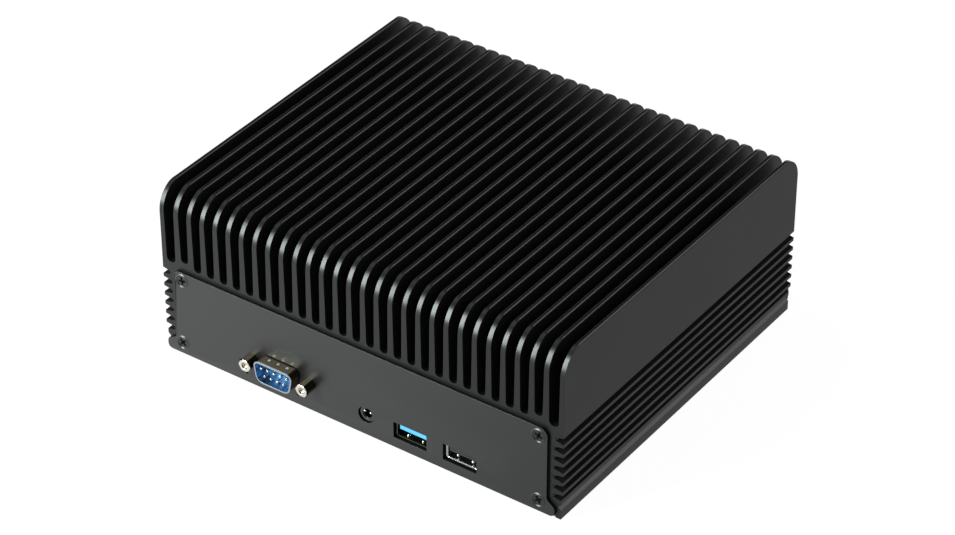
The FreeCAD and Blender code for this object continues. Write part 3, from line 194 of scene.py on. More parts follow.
housing = add_block("housing_body", housing_low, housing_high)
round_edges(housing, lambda middle, run: abs(run.y) > 0.9 and middle.z > TOP - MM, OUTER_EDGE, 5)
side_outline = add_block("side_outline", (-OUTSIDE, FRONT, BOTTOM - REACH), (OUTSIDE, REAR, TOP))
round_edges(side_outline, lambda middle, run: abs(run.x) > 0.9 and middle.z > TOP - MM, FIN_END_RADIUS, 16)
combine(housing, side_outline, "INTERSECT")
print("housing block:", len(housing.data.polygons), "faces")

# %% [markdown]
# One cutter makes a slot and the round tops of the fins beside it. It is a block that widens a little
# towards its mouth, because a fin is thicker at its root and the die wears less that way. Its foot is
# bevelled to a half circle. Its top face is extruded, widened to the middle of the fins and pulled up, which
# leaves a ledge on each side. Bevelling the inner corner of the ledge gives the quarter circle that the
# fin's top is left with. An array repeats the cutter, and one boolean takes all slots out.

# %% Slot cutter
# Two places nearer than this count as the same.
CLOSE = 0.01 * MM


def slot_cutter(name, middle, foot, mouth, floor, ledge):
    """Cut along the housing with a round foot and round shoulders; foot and mouth are half widths."""
    cutter = add_block(name, (middle - foot, FRONT - REACH, floor), (middle + foot, REAR + REACH, TOP))
    choose(cutter, "FACE", lambda spot, normal: normal.z > 0.9)
    bpy.ops.transform.resize(value=(mouth / foot, 1, 1), center_override=(middle, 0, TOP))
    bpy.ops.mesh.extrude_region_move()
    bpy.ops.transform.resize(value=((mouth + ledge) / mouth, 1, 1), center_override=(middle, 0, TOP))
    bpy.ops.mesh.extrude_region_move(TRANSFORM_OT_translate={"value": (0, 0, REACH)})
    leave()
    for height, half, offset, segments in ((floor, foot, foot * 0.96, 7), (TOP, mouth, ledge * 0.97, 8)):
        round_edges(cutter, lambda spot, run: (abs(run.y) > 0.9 and abs(spot.z - height) < CLOSE
                                               and abs(abs(spot.x - middle) - half) < CLOSE),
                    offset, segments)
    return cutter


def repeat(piece, step, count):
    """Repeat a piece at equal steps."""
    row = piece.modifiers.new("row", "ARRAY")
    row.use_relative_offset = False
    row.use_constant_offset = True
    row.constant_offset_displace = step
    row.count = count
    apply_all(piece)
    return piece


print("slot cutter ready")

# %% Slots between the fins
FIN_PITCH = 5.76 * MM
SLOT_FOOT = 1.58 * MM
SLOT_MOUTH = 2.04 * MM
FIN_ROUND = FIN_PITCH / 2 - SLOT_MOUTH
SLOT_FLOOR = BOTTOM + 38.0 * MM
# The slots over the screw bosses are less deep, and the outermost ones are wider.
BOSS_RISE = 1.8 * MM
OUTER_X = 80.98 * MM
OUTER_FOOT, OUTER_MOUTH, OUTER_LEDGE = 1.9 * MM, 2.3 * MM, 0.8 * MM

deep_slots = slot_cutter("deep_slots", -12 * FIN_PITCH, SLOT_FOOT, SLOT_MOUTH, SLOT_FLOOR, FIN_ROUND)
combine(housing, repeat(deep_slots, (FIN_PITCH, 0, 0), 25), "DIFFERENCE")
for side in (-1, 1):
    combine(housing, slot_cutter("boss_slot", side * 13 * FIN_PITCH, SLOT_FOOT, SLOT_MOUTH,
                                 SLOT_FLOOR + BOSS_RISE, FIN_ROUND), "DIFFERENCE")
    combine(housing, slot_cutter("outer_slot", side * OUTER_X, OUTER_FOOT, OUTER_MOUTH, SLOT_FLOOR,
                                 OUTER_LEDGE), "DIFFERENCE")
print("slots cut:", len(housing.data.polygons), "faces")

# %% [markdown]
# Seven grooves run along each flank, which give the hand a grip and the air more surface. They are sawn with
# a tapered cutter, so each one narrows inward. The lowest six are four millimetres deep and the top one a
# little less.


# %% Grooves in the flanks
def groove_cutter(name, side, seat, middle, half):
    """A block along one flank that narrows towards its round inner end."""
    near, far = sorted((side * seat, side * HALF_WIDTH))
    cutter = add_block(name, (near, FRONT - REACH, middle - half), (far, REAR + REACH, middle + half))
    choose(cutter, "FACE", lambda spot, normal: side * normal.x < -0.9)
    bpy.ops.transform.resize(value=(1, 1, 0.5), center_override=(0, 0, middle))
    leave()
    choose(cutter, "FACE", lambda spot, normal: side * normal.x > 0.9)
    bpy.ops.mesh.extrude_region_move(TRANSFORM_OT_translate={"value": (side * 3 * MM, 0, 0)})
    leave()
    round_edges(cutter, lambda spot, run: abs(run.y) > 0.9 and side * spot.x < seat + MM, half * 0.44, 5)
    return cutter


GROOVE_HALF = 1.3 * MM
GROOVE_PITCH = 4.0 * MM
GROOVE_SEAT, TOP_GROOVE_SEAT = 81.0 * MM, 81.7 * MM
LOWEST_GROOVE = BOTTOM + 9.15 * MM


def cut_grooves(side):
    """Cut the six equal grooves of one flank and the shallower one above them."""
    lower = groove_cutter("lower_grooves", side, GROOVE_SEAT, LOWEST_GROOVE, GROOVE_HALF)
    combine(housing, repeat(lower, (0, 0, GROOVE_PITCH), 6), "DIFFERENCE")
    top = groove_cutter("top_groove", side, TOP_GROOVE_SEAT, LOWEST_GROOVE + 6 * GROOVE_PITCH, GROOVE_HALF)
    combine(housing, top, "DIFFERENCE")


print("groove depth", round((HALF_WIDTH - GROOVE_SEAT) / MM, 1), "mm")

# %% [markdown]
# Below the grooves the skirt steps in by 0.6 mm and carries one V-shaped notch, which is a thin block stood
# on its edge. The inside is cleared in three plain cuts, because the boards of the frame stand there.

# %% Skirt and inside
SKIRT_FACE = 84.4 * MM
NOTCH_HALF = 1.2 * MM
NOTCH_X, NOTCH_Z = 84.9 * MM, BOTTOM + 4.9 * MM
# Half width, lowest and highest height of each inner cut, in millimetres from the housing's lower edge.
INNER_CUTS = ((73.2, -10.0, 33.4), (78.6, 9.2, 30.0), (82.1, -10.0, 1.8))


def cut_skirt(side):
    """Step the skirt of one flank in and cut its notch."""
    near, far = sorted((side * SKIRT_FACE, side * OUTSIDE))
    combine(housing, add_block("skirt_step", (near, FRONT - REACH, -2 * REACH),
                               (far, REAR + REACH, LOWEST_GROOVE)), "DIFFERENCE")
    notch = add_block("skirt_notch", (-NOTCH_HALF, FRONT - REACH, -NOTCH_HALF),
                      (NOTCH_HALF, REAR + REACH, NOTCH_HALF))
    notch.rotation_euler = (0, math.radians(45), 0)
    notch.location = (side * NOTCH_X, 0, NOTCH_Z)
    combine(housing, settle(notch), "DIFFERENCE")


for side in (-1, 1):
    cut_grooves(side)
    cut_skirt(side)
for half, low, high in INNER_CUTS:
    combine(housing, add_block("inner_cut", (-half * MM, FRONT - REACH, BOTTOM + low * MM),
                               (half * MM, REAR + REACH, BOTTOM + high * MM)), "DIFFERENCE")
print("housing cut:", len(housing.data.polygons), "faces")

# %% [markdown]
# No edge of a real part is sharp. Blasting and anodising leave a radius of a tenth of a millimetre on this
# housing, which is what catches the light. A bevel modifier rounds all sharp edges at once. The large flat
# faces then give their own direction to their corners, or the light would smear across them. A finished
# piece is mounted: it rides on the machine's body, names its finish and hides the plain nodes it stands for.


# %% Soft edges and mounting
def soften(piece, width, segments=2, angle=35):
    """Round the sharp edges a little, shade them smooth and keep the flat faces flat."""
    modifier = piece.modifiers.new("edges", "BEVEL")
    modifier.width = width
    modifier.segments = segments
    modifier.limit_method = "ANGLE"
    modifier.angle_limit = math.radians(angle)
    modifier.use_clamp_overlap = False
    modifier.harden_normals = False
    apply_all(piece)
    shade(piece, angle)


def shade(piece, angle=35):
    """Shade smooth up to an angle, and let each large flat face give its own normal to its corners."""
    activate(piece)
    bpy.ops.object.shade_smooth_by_angle(angle=math.radians(angle))
    weighted = piece.modifiers.new("normals", "WEIGHTED_NORMAL")
    weighted.mode = "FACE_AREA"
    weighted.weight = 50
    weighted.keep_sharp = True
    apply_all(piece)


finish_of = {}


def mount(piece, slot, nodes=(), finish=None):
    """Put a finished piece on the machine, name its finish and hide the plain nodes it stands for."""
    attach(piece, "root")
    if nodes:
        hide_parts(*nodes)
    finish_of[piece.name] = finish or slot
    return piece


soften(housing, 0.1 * MM)
mount(housing, "housing_black", ["finned_housing"])
print("housing:", len(housing.data.polygons), "faces")

# %% [markdown]
# The rear panel, the base plate and the rear sockets already have their true outlines in the frame. They
# only lack the small radius that every sawn, punched or moulded edge has. A copy of each is merged and its
# flat regions dissolved, so that a bevel finds just the real edges.


# %% Copies of plain nodes
def merged_copy(node, name):
    """Copy a node of the frame and merge its loose triangles into flat regions."""
    deselect()
    source = frame["nodes"][node]
    piece = source.copy()
    piece.data = source.data.copy()
    piece.name = name
    for key in list(piece.keys()):
        if key.startswith("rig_"):
            del piece[key]
    piece.parent = None
    piece.matrix_world = Matrix.Identity(4)
    bpy.context.collection.objects.link(piece)
    piece.hide_render = False
    activate(piece)
    bpy.ops.object.mode_set(mode="EDIT")
    bpy.ops.mesh.select_all(action="SELECT")
    bpy.ops.mesh.remove_doubles(threshold=0.002 * MM)
    bpy.ops.mesh.dissolve_limited(angle_limit=math.radians(1.0))
    leave()
    return piece


def dressed_copy(node, name, width, slot, segments=2, angle=35, finish=None):
    """A merged copy of a node whose sharp edges are softened."""
    piece = merged_copy(node, name)
    soften(piece, width, segments, angle)
    return mount(piece, slot, [node], finish)


print("copy helpers ready")

# %% Rear panel and base plate
rear_plate = dressed_copy("rear_panel", "rear_plate", 0.04 * MM, "panel_black")
floor_plate = dressed_copy("base_plate", "floor_plate", 0.15 * MM, "base_black")
print("plates:", len(rear_plate.data.polygons), len(floor_plate.data.polygons))

# %% [markdown]
# The front plate is laser-cut from thinner sheet than the frame's plain plate, its shoulders sit lower
# beside the grooves, and its screws follow the narrower outline. The merged copy is trimmed by moving chosen
# corners: first the face, then the two shoulders, the two sides and the four screw holes. It ends as a plate
# 1.2 mm thick, set where its windows line up with the sockets when they are looked at from the right.

# %% Moving parts of a plate
# Old and new place of each screw, in millimetres from the middle and from the housing's lower edge.
HOLES = (((-76.2, 33.1), (-75.0, 33.4)), ((-76.2, 6.1), (-76.1, 6.2)),
         ((76.2, 33.1), (76.4, 33.2)), ((76.2, 6.1), (76.6, 6.1)))
# A hole's corners lie this near to its place, and the outline's sides lie this far from the middle.
HOLE_REACH = 3.3 * MM
SIDE_REGION = 76.9 * MM


def near_hole(spot, place):
    """True for a corner that belongs to the screw hole at a place."""
    return math.hypot(spot.x - place[0] * MM, spot.z - BOTTOM - place[1] * MM) < HOLE_REACH


def nudge(piece, test, shift):
    """Move the corners that pass a test."""
    choose(piece, "VERT", lambda spot, normal: test(spot))
    bpy.ops.transform.translate(value=shift)
    leave()


def on_side(spot, side, low, high):
    """True for a corner of the outline on one side and between two heights in millimetres."""
    return (side * spot.x > SIDE_REGION and BOTTOM + low * MM < spot.z < BOTTOM + high * MM
            and not any(near_hole(spot, old) for old, new in HOLES))


print("holes moved by", [round(math.dist(old, new), 2) for old, new in HOLES], "mm")

# %% Front plate
PANEL_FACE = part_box("front_panel")[0].y
THINNER = 0.8 * MM
SHOULDER_DROP = 2.6 * MM
LEFT_TRIM, RIGHT_TRIM = 1.3 * MM, 0.45 * MM
PLATE_SHIFT = Vector((-0.56 * MM, 0, -0.69 * MM))

front_plate = merged_copy("front_panel", "front_plate")
nudge(front_plate, lambda spot: spot.y < PANEL_FACE + 0.1 * MM, (0, THINNER, 0))
for side, inward in ((-1, LEFT_TRIM), (1, -RIGHT_TRIM)):
    nudge(front_plate, lambda spot: on_side(spot, side, 5.6, 13.0), (0, 0, -SHOULDER_DROP))
    nudge(front_plate, lambda spot: on_side(spot, side, 6.56, 40.0), (inward, 0, 0))
for old, new in HOLES:
    nudge(front_plate, lambda spot: near_hole(spot, old), ((new[0] - old[0]) * MM, 0, (new[1] - old[1]) * MM))
nudge(front_plate, lambda spot: True, PLATE_SHIFT)
soften(front_plate, 0.06 * MM)
mount(front_plate, "panel_black", ["front_panel"])
print("front plate:", len(front_plate.data.polygons), "faces")

# %% [markdown]
# The feet, the base's nuts and the rear sockets need no more than soft edges. Rubber gets a wide radius,
# moulded plastic a smaller one, and folded steel the smallest.

# %% Smaller nodes with softened edges
for node, width, slot in (
        ("rubber_feet", 0.5, "foot_rubber"), ("power_jack_body", 0.2, "black_plastic"),
        ("video_shell", 0.1, "steel"), ("lan_shells", 0.08, "steel"), ("lan_inserts", 0.15, "black_plastic"),
        ("usb_stack_shell", 0.1, "steel"), ("mount_nuts", 0.1, "steel")):
    piece = dressed_copy(node, f"{node}_finished", width * MM, slot)
    print(piece.name, len(piece.data.polygons), "faces")

# %% [markdown]
# The serial socket is the one part that stands out of the front. Its shell is drawn from sheet metal, and
# three dimples pressed into it grip the plug. The mouth is rolled outward. The skirt and the lining are two
# pieces with finishes of their own: the skirt's nickel is a dark brown, partly plating and partly painted
# shade, while the rolled rim keeps a pale nickel. Both start as a block whose lower face is narrowed.
# Rounding the long edges gives the D shape.

# %% Blocks for the serial shell
serial_low, serial_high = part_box("serial_shell")
SERIAL_RIM = serial_low.y
SERIAL_X = (serial_low.x + serial_high.x) / 2
SERIAL_Z = BOTTOM + 12.65 * MM
SHELL_HALF, SHELL_RISE, SHELL_ROUND = 8.46 * MM, 4.18 * MM, 2.4 * MM
SHELL_SLOPE = math.tan(math.radians(10))


def serial_block(name, grow, front, back):
    """A D-shaped block, grown outwards from the shell's outline, between two depths behind the rim."""
    half, rise = SHELL_HALF + grow, SHELL_RISE + grow
    block = add_block(name, (SERIAL_X - half, SERIAL_RIM + front, SERIAL_Z - rise),
                      (SERIAL_X + half, SERIAL_RIM + back, SERIAL_Z + rise))
    choose(block, "FACE", lambda middle, normal: normal.z < -0.9)
    bpy.ops.transform.resize(value=(1 - 2 * rise * SHELL_SLOPE / half, 1, 1),
                             center_override=(SERIAL_X, 0, SERIAL_Z))
    leave()
    round_edges(block, lambda middle, run: abs(run.y) > 0.9, SHELL_ROUND + grow, 8)
    return block


def add_ball(name, centre, radius, stretch=(1, 1, 1)):
    """Add a sphere at a place, stretched along the axes."""
    deselect()
    bpy.ops.mesh.primitive_uv_sphere_add(segments=24, ring_count=12, radius=radius, location=centre)
    ball = bpy.context.object
    ball.name = name
    ball.scale = stretch
    return settle(ball)


print("serial shell", round(2 * SHELL_HALF / MM, 2), "mm wide")

# %% Serial shell
DIMPLE_STEP = 3.95 * MM

serial_skirt = serial_block("serial_skirt", 0, 0.4 * MM, 6.6 * MM)
combine(serial_skirt, serial_block("hollow", -0.2 * MM, 0, 7 * MM), "DIFFERENCE")
for shift in (-DIMPLE_STEP, 0, DIMPLE_STEP):
    dimple = add_ball("dimple", (SERIAL_X + shift, SERIAL_RIM + 3.4 * MM, SERIAL_Z + 5.0 * MM), 1.1 * MM)
    combine(serial_skirt, dimple, "DIFFERENCE")
shade(serial_skirt)
# The skirt's dark brown is partly plating and partly painted shade.
mount(serial_skirt, "nickel", ["serial_shell"], "dull_plating_and_shade")

serial_lining = serial_block("serial_lining", 0.22 * MM, 0, 0.45 * MM)
combine(serial_lining, serial_block("tube", -0.1 * MM, 0.3 * MM, 6.2 * MM), "UNION")
combine(serial_lining, serial_block("mouth", -0.45 * MM, -1 * MM, 7 * MM), "DIFFERENCE")
soften(serial_lining, 0.1 * MM)
mount(serial_lining, "nickel", ["serial_shell"], "rolled_rim")
print("serial shell:", len(serial_skirt.data.polygons), len(serial_lining.data.polygons), "faces")

# %% [markdown]
# The pins and the two jackscrews keep the frame's shape. The pins get round tips, because a plug has to find
# its way over them. The jackscrews are turned from hexagonal bar. Their six long edges are a little worn,
# their front corners are chamfered in a lathe, and the bore has a lead-in for the plug's screw.

# %% Pins and jackscrews
serial_pins = dressed_copy("serial_pins", "pins", 0.2 * MM, "gold", segments=3, angle=50, finish="pale_gold")
jackscrews = merged_copy("serial_jackscrews", "jackscrews")
SCREW_AXES = [SERIAL_X + side * 12.495 * MM for side in (-1, 1)]


def from_axis(spot):
    """Distance of a point from the nearer jackscrew's axis."""
    return min(math.hypot(spot.x - x, spot.z - SERIAL_Z) for x in SCREW_AXES)


def at_end(middle, run):
    """True for an edge of the front end, across the axis."""
    return abs(run.y) < 0.1 and middle.y < SERIAL_RIM + 0.05 * MM


for test, offset, segments in (
        (lambda middle, run: abs(run.y) > 0.9 and from_axis(middle) > 2.6 * MM, 0.45 * MM, 3),
        (lambda middle, run: at_end(middle, run) and from_axis(middle) > 2.2 * MM, 0.3 * MM, 3),
        (lambda middle, run: at_end(middle, run) and from_axis(middle) < 1.3 * MM, 0.35 * MM, 2)):
    round_edges(jackscrews, test, offset, segments)
shade(jackscrews)
# Their finish paints a cream highlight on the fronts and a brown shade on the flats.
mount(jackscrews, "nickel", ["serial_jackscrews"], "facing_painted_metal")
print("jackscrews:", len(jackscrews.data.polygons), "faces")

# %% [markdown]
# The threaded bores would look like plain holes. A full helix costs many faces for something this small,
# so only the first turns are made, as a cup whose wall steps in and out ring by ring. Each ring is one
# extrusion of the cup's floor, scaled a little.


# %% Threaded bores
def thread_cup(name, x):
    """The first turns of a thread: a cup whose wall steps inward ring by ring."""
    deselect()
    bpy.ops.mesh.primitive_cylinder_add(vertices=24, radius=1.14 * MM, depth=2.0 * MM,
                                        location=(x, SERIAL_RIM + 1.5 * MM, SERIAL_Z),
                                        rotation=(math.pi / 2, 0, 0))
    cup = settle(bpy.context.object)
    cup.name = name
    choose(cup, "FACE", lambda middle, normal: normal.y < -0.9)
    bpy.ops.mesh.inset(thickness=0.04 * MM)
    for width in (0.86, 1.14, 0.86, 1.14, 0.7):
        bpy.ops.mesh.extrude_region_move(TRANSFORM_OT_translate={"value": (0, 0.17 * MM, 0)})
        bpy.ops.transform.resize(value=(width, 1, width), center_override=(x, 0, SERIAL_Z))
    leave()
    shade(cup, 20)
    return mount(cup, "nickel", ["serial_jackscrews"], "cut_brass")


thread_cups = [thread_cup(f"jackscrew_thread_{number}", x) for number, x in enumerate(SCREW_AXES, start=1)]
print("thread cups:", [len(cup.data.polygons) for cup in thread_cups], "faces")

# %% [markdown]
# The front plate is thinner than the frame's plain one and sits a little lower, so the whole socket follows
# it. Its pieces are moved together, after the insulator has joined them.

# %% Serial socket against the plate
insulator = dressed_copy("serial_insulator", "insulator", 0.08 * MM, "blue_plastic")
for piece in (serial_skirt, serial_lining, serial_pins, jackscrews, insulator, *thread_cups):
    nudge(piece, lambda spot: True, PLATE_SHIFT + Vector((0, THINNER, 0)))
print("serial socket set back by", round(THINNER / MM, 1), "mm")

# %% [markdown]
# The sound jack's barrel fills its round hole and is moulded in a plastic as smooth as the plate. Its sleeve
# is a dark brown metal, partly plating and partly painted shade in the bore, while the two springs that hold
# the plug are polished, one on each side of the bore.

# %% Sound jack
jack_low, jack_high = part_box("sound_jack_sleeve")
jack_middle = (jack_low + jack_high) / 2
dressed_copy("sound_jack_body", "sound_jack_barrel", 0.15 * MM, "black_plastic", finish="smooth_plastic")
# The sleeve's dark brown is partly plating and partly painted shade in the bore.
dressed_copy("sound_jack_sleeve", "sound_jack_lining", 0.06 * MM, "nickel", finish="dull_plating_and_shade")
for side in (-1, 1):
    place = (jack_middle.x + side * 1.3 * MM, FRONT - 0.5 * MM, jack_middle.z + 0.6 * MM)
    spring = add_ball(f"sound_jack_spring_{side + 2}", place, 0.5 * MM, (1.2, 1.0, 0.9))
    shade(spring)
    mount(spring, "nickel", ["sound_jack_sleeve"], "polished")
print("sound jack at", [round(v / MM, 1) for v in jack_middle])

# %% [markdown]
# The two USB sockets of the front stand just inside their windows. Each shell is folded from sheet, so its
# corners are round. The plain one has a flared mouth that guides the plug, which shows as a bright line
# along the lower lip and the left side. A flare is one more ring: the front face is inset and pushed in, and
# the ring that this makes is narrowed before the hollow goes on.


# %% USB shells
def usb_shell(name, node, flare):
    """A folded shell: a block with round corners, hollowed from its front, with or without a flared mouth."""
    low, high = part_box(node)
    centre = (low + high) / 2
    shell = add_block(name, low, high)
    round_edges(shell, lambda middle, run: abs(run.y) > 0.9, 0.9 * MM, 4)
    choose(shell, "FACE", lambda middle, normal: normal.y < -0.9)
    inset, depth = (0.10 * MM, 0.3 * MM) if flare else (0.32 * MM, 12.8 * MM)
    bpy.ops.mesh.inset(thickness=inset)
    bpy.ops.mesh.extrude_region_move(TRANSFORM_OT_translate={"value": (0, depth, 0)})
    if flare:
        half, rise = (high.x - low.x) / 2 - inset, (high.z - low.z) / 2 - inset
        bpy.ops.transform.resize(value=(1 - 0.5 * MM / half, 1, 1 - 0.22 * MM / rise), center_override=centre)
        bpy.ops.mesh.extrude_region_move(TRANSFORM_OT_translate={"value": (0, 12.5 * MM, 0)})
    leave()
    return shell


print("USB shell helper ready")

# %% [markdown]
# Four springs are cut from the floor and the roof of each shell and press on the plug. A spring is a strip
# that leans off its wall and ends in a hump, and only the hump catches a glint of light from outside.


# %% USB springs
def usb_spring(name, x, z, up, lift):
    """A spring strip that ends in a hump; up is the way it bulges, lift its distance from the wall."""
    hump = add_ball(f"{name}_hump", (x, FRONT + 1.4 * MM, z + up * lift), 0.8 * MM, (0.95, 1.2, 0.95))
    strip = add_block(name, (x - 0.6 * MM, FRONT + 1.4 * MM, min(z, z + up * 0.3 * MM)),
                      (x + 0.6 * MM, FRONT + 6.5 * MM, max(z, z + up * 0.3 * MM)))
    choose(strip, "FACE", lambda middle, normal: normal.y < -0.9)
    bpy.ops.transform.translate(value=(0, 0, up * lift))
    leave()
    combine(strip, hump, "UNION")
    shade(strip, 40)
    return strip


for node, flare in (("usb_fast_shell", False), ("usb_plain_shell", True)):
    low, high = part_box(node)
    shell = usb_shell(f"{node}_folded", node, flare)
    shade(shell)
    # The fast shell's dark brown is partly plating and partly painted shade inside its window.
    mount(shell, "steel", [node], "folded_steel" if flare else "dull_plating_and_shade")
    middle_x, lift = (low.x + high.x) / 2 + 0.5 * MM, (1.0 if flare else 0.15) * MM
    walls = ((low.z + 0.35 * MM, 1), (high.z - 0.35 * MM, -1))
    places = [(middle_x + side * 3.1 * MM, z, up) for z, up in walls for side in (-1, 1)]
    for number, (x, z, up) in enumerate(places, start=1):
        mount(usb_spring(f"{node[:-6]}_spring_{number}", x, z, up, lift), "steel", [node], "polished")
    print(shell.name, len(shell.data.polygons), "faces")

# %% [markdown]
# Each countersunk screw shows a flat head with a cross recess. The head starts as a cone frustum whose
# wide end faces up, and its rim gets a fine chamfer. A four-armed cutter with sloping sides leaves the
# recess. One screw is modelled and copied to every place, turned to face out of its plate. No two recesses
# stand at the same angle, because nobody lines them up.


# %% Screw head
def cross_cutter(name, reach, half, depth):
    """A four-armed cutter whose arms narrow towards their tip below."""
    arms = []
    for number, (x, y) in enumerate(((reach, half), (half, reach))):
        arm = add_block(f"{name}_{number}", (-x, -y, -depth), (x, y, 0.4 * MM))
        choose(arm, "FACE", lambda middle, normal: normal.z < -0.9)
        bpy.ops.transform.resize(value=(0.45, 0.45, 1.0))
        leave()
        arms.append(arm)
    return arms


SHANK_RADIUS, HEAD_RADIUS, HEAD_DEPTH = 1.5 * MM, 2.93 * MM, 1.4 * MM
RECESS_REACH, RECESS_HALF, RECESS_DEPTH = 1.9 * MM, 0.52 * MM, 1.2 * MM


def make_screw_head():
    """One countersunk head whose flat top lies at the origin and faces up."""
    deselect()
    bpy.ops.mesh.primitive_cone_add(vertices=40, radius1=SHANK_RADIUS, radius2=HEAD_RADIUS, depth=HEAD_DEPTH,
                                    location=(0, 0, -HEAD_DEPTH / 2))
    head = settle(bpy.context.object)
    head.name = "screw_head"
    choose(head, "EDGE", lambda middle, run: middle.z > -0.1 * MM)
    bpy.ops.mesh.bevel(offset=0.04 * MM, segments=1, affect="EDGES", clamp_overlap=True)
    leave()
    for arm in cross_cutter("recess", RECESS_REACH, RECESS_HALF, RECESS_DEPTH):
        combine(head, arm, "DIFFERENCE")
    activate(head)
    bpy.ops.object.shade_smooth_by_angle(angle=math.radians(30))
    return head


screw_model = make_screw_head()
print("screw head:", len(screw_model.data.polygons), "faces")


# %% [markdown]
# A copy gets a mesh of its own, because its place and turn are baked into that mesh. The front screws follow
# the holes of the thinner plate. The other eight sit just under the faces of their plates.


# %% Screws in their places
def set_screws(node, turn, places):
    """Copy the screw head to its places, turned to face out and by a small twist of its own."""
    for number, (spot, twist) in enumerate(places, start=1):
        head = screw_model.copy()
        head.data = screw_model.data.copy()
        head.name = f"{node[:-1]}_{number}"
        bpy.context.collection.objects.link(head)
        head.matrix_world = (Matrix.Translation(spot) @ Matrix.Rotation(math.radians(turn), 4, "X")
                             @ Matrix.Rotation(math.radians(twist), 4, "Z"))
        settle(head)
        mount(head, "screw_black", [node])


SCREW_X = 76.2 * MM
SCREW_HEIGHTS = (BOTTOM + 33.1 * MM, BOTTOM + 6.1 * MM)
TWISTS = (12, 47, -20, 33)
rear_face, base_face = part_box("rear_panel")[1].y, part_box("base_plate")[0].z

front_places = [Vector((x * MM, PANEL_FACE + THINNER + 0.02 * MM, BOTTOM + z * MM)) + PLATE_SHIFT
                for old, (x, z) in HOLES]
rear_places = [Vector((x, rear_face - 0.1 * MM, z)) for x in (-SCREW_X, SCREW_X) for z in SCREW_HEIGHTS]
base_places = [Vector((x, y, base_face + 0.1 * MM)) for x in (-SCREW_X, SCREW_X)
               for y in (FRONT + 22 * MM, REAR - 22 * MM)]
set_screws("front_panel_screws", 90, zip(front_places, TWISTS))
set_screws("rear_panel_screws", -90, zip(rear_places, reversed(TWISTS)))
set_screws("base_plate_screws", 180, zip(base_places, TWISTS))
bpy.data.objects.remove(screw_model)
print("screws set:", len(front_places) + len(rear_places) + len(base_places))

# %% [markdown]
# Finishes come next. The same few effects return in many of them: the fine grain that bead blasting leaves
# in anodised metal, the long drawn lines of an extrusion, the pebbled skin of moulded parts, and the light
# wear on edges. Each effect is one node group with its own inputs, so a finish only sets its numbers.

# %% A small kit for node groups
def new_group(name, numbers, outputs):
    """Start a shader node group with number inputs and named outputs; give back its nodes and wiring."""
    group = bpy.data.node_groups.new(name, "ShaderNodeTree")
    for label, value in numbers.items():
        socket = group.interface.new_socket(label, in_out="INPUT", socket_type="NodeSocketFloat")
        socket.default_value = value
    for label, kind in outputs.items():
        group.interface.new_socket(label, in_out="OUTPUT", socket_type=kind)
    entry = group.nodes.new("NodeGroupInput")
    leaving = group.nodes.new("NodeGroupOutput")
    return group, entry, leaving


def add_math(tree, operation, first, second=0.0):
    """Add a Math node fed by sockets or plain numbers and give back its result."""
    node = tree.nodes.new("ShaderNodeMath")
    node.operation = operation
    for place, value in enumerate((first, second)):
        if isinstance(value, (int, float)):
            node.inputs[place].default_value = value
        else:
            tree.links.new(value, node.inputs[place])
    return node.outputs[0]


def add_noise(tree, vector, scale, detail=3.0, roughness=0.5):
    """Add a Noise texture on the given coordinates and give back its grey value."""
    node = tree.nodes.new("ShaderNodeTexNoise")
    node.inputs["Detail"].default_value = detail
    node.inputs["Roughness"].default_value = roughness
    tree.links.new(vector, node.inputs["Vector"])
    if isinstance(scale, (int, float)):
        node.inputs["Scale"].default_value = scale
    else:
        tree.links.new(scale, node.inputs["Scale"])
    return node.outputs[0]


# Object coordinates are in metres; with this factor a noise scale of one means one feature to a millimetre.
PER_MM = (1000, 1000, 1000)


def stretched(tree, stretch):
    """Object coordinates, stretched by three factors."""
    place = tree.nodes.new("ShaderNodeTexCoord")
    mapping = tree.nodes.new("ShaderNodeMapping")
    mapping.inputs["Scale"].default_value = stretch
    tree.links.new(place.outputs["Object"], mapping.inputs["Vector"])
    return mapping.outputs["Vector"]


print("node kit ready")

# %% [markdown]
# Glass beads leave tiny dents, which roughen the surface and blur what it mirrors. Over a few centimetres
# the blasting is never even, so a second, wide noise shifts the sheen.


# %% Group: bead-blasted grain
def make_grain():
    """Two sizes of noise; the fine one roughens the surface, the wide one varies its sheen."""
    group, entry, leaving = new_group("bead_blast_grain", {"Grain Size": 0.35, "Depth": 1.0},
                                      {"Height": "NodeSocketFloat", "Sheen Shift": "NodeSocketFloat"})
    place = stretched(group, PER_MM)
    scale = add_math(group, "DIVIDE", 1.0, entry.outputs["Grain Size"])
    fine = add_noise(group, place, scale, 2.0, 0.6)
    wide = add_noise(group, place, 0.05, 3.0)
    group.links.new(add_math(group, "MULTIPLY", fine, entry.outputs["Depth"]), leaving.inputs["Height"])
    group.links.new(add_math(group, "SUBTRACT", wide, 0.5), leaving.inputs["Sheen Shift"])
    return group


grain_group = make_grain()
print("grain:", len(grain_group.nodes), "nodes")

# %% [markdown]
# The die draws fine lines along an extrusion. Noise that is squeezed across and left long on Y gives them.


# %% Group: drawn lines of an extrusion
def make_drawn_lines():
    """Noise drawn out along Y, the way the die leaves its lines."""
    group, entry, leaving = new_group("drawn_lines", {"Fineness": 2.0}, {"Lines": "NodeSocketFloat"})
    place = stretched(group, (1000, 12, 1000))
    lines = add_noise(group, place, entry.outputs["Fineness"], 3.0, 0.6)
    group.links.new(add_math(group, "SUBTRACT", lines, 0.5), leaving.inputs["Lines"])
    return group


lines_group = make_drawn_lines()
print("drawn lines:", len(lines_group.nodes), "nodes")

# %% [markdown]
# Black dye rubs off where hands and tools touch, which is along the outer edges. Pointiness finds the edges,
# and noise breaks the wear into patches.


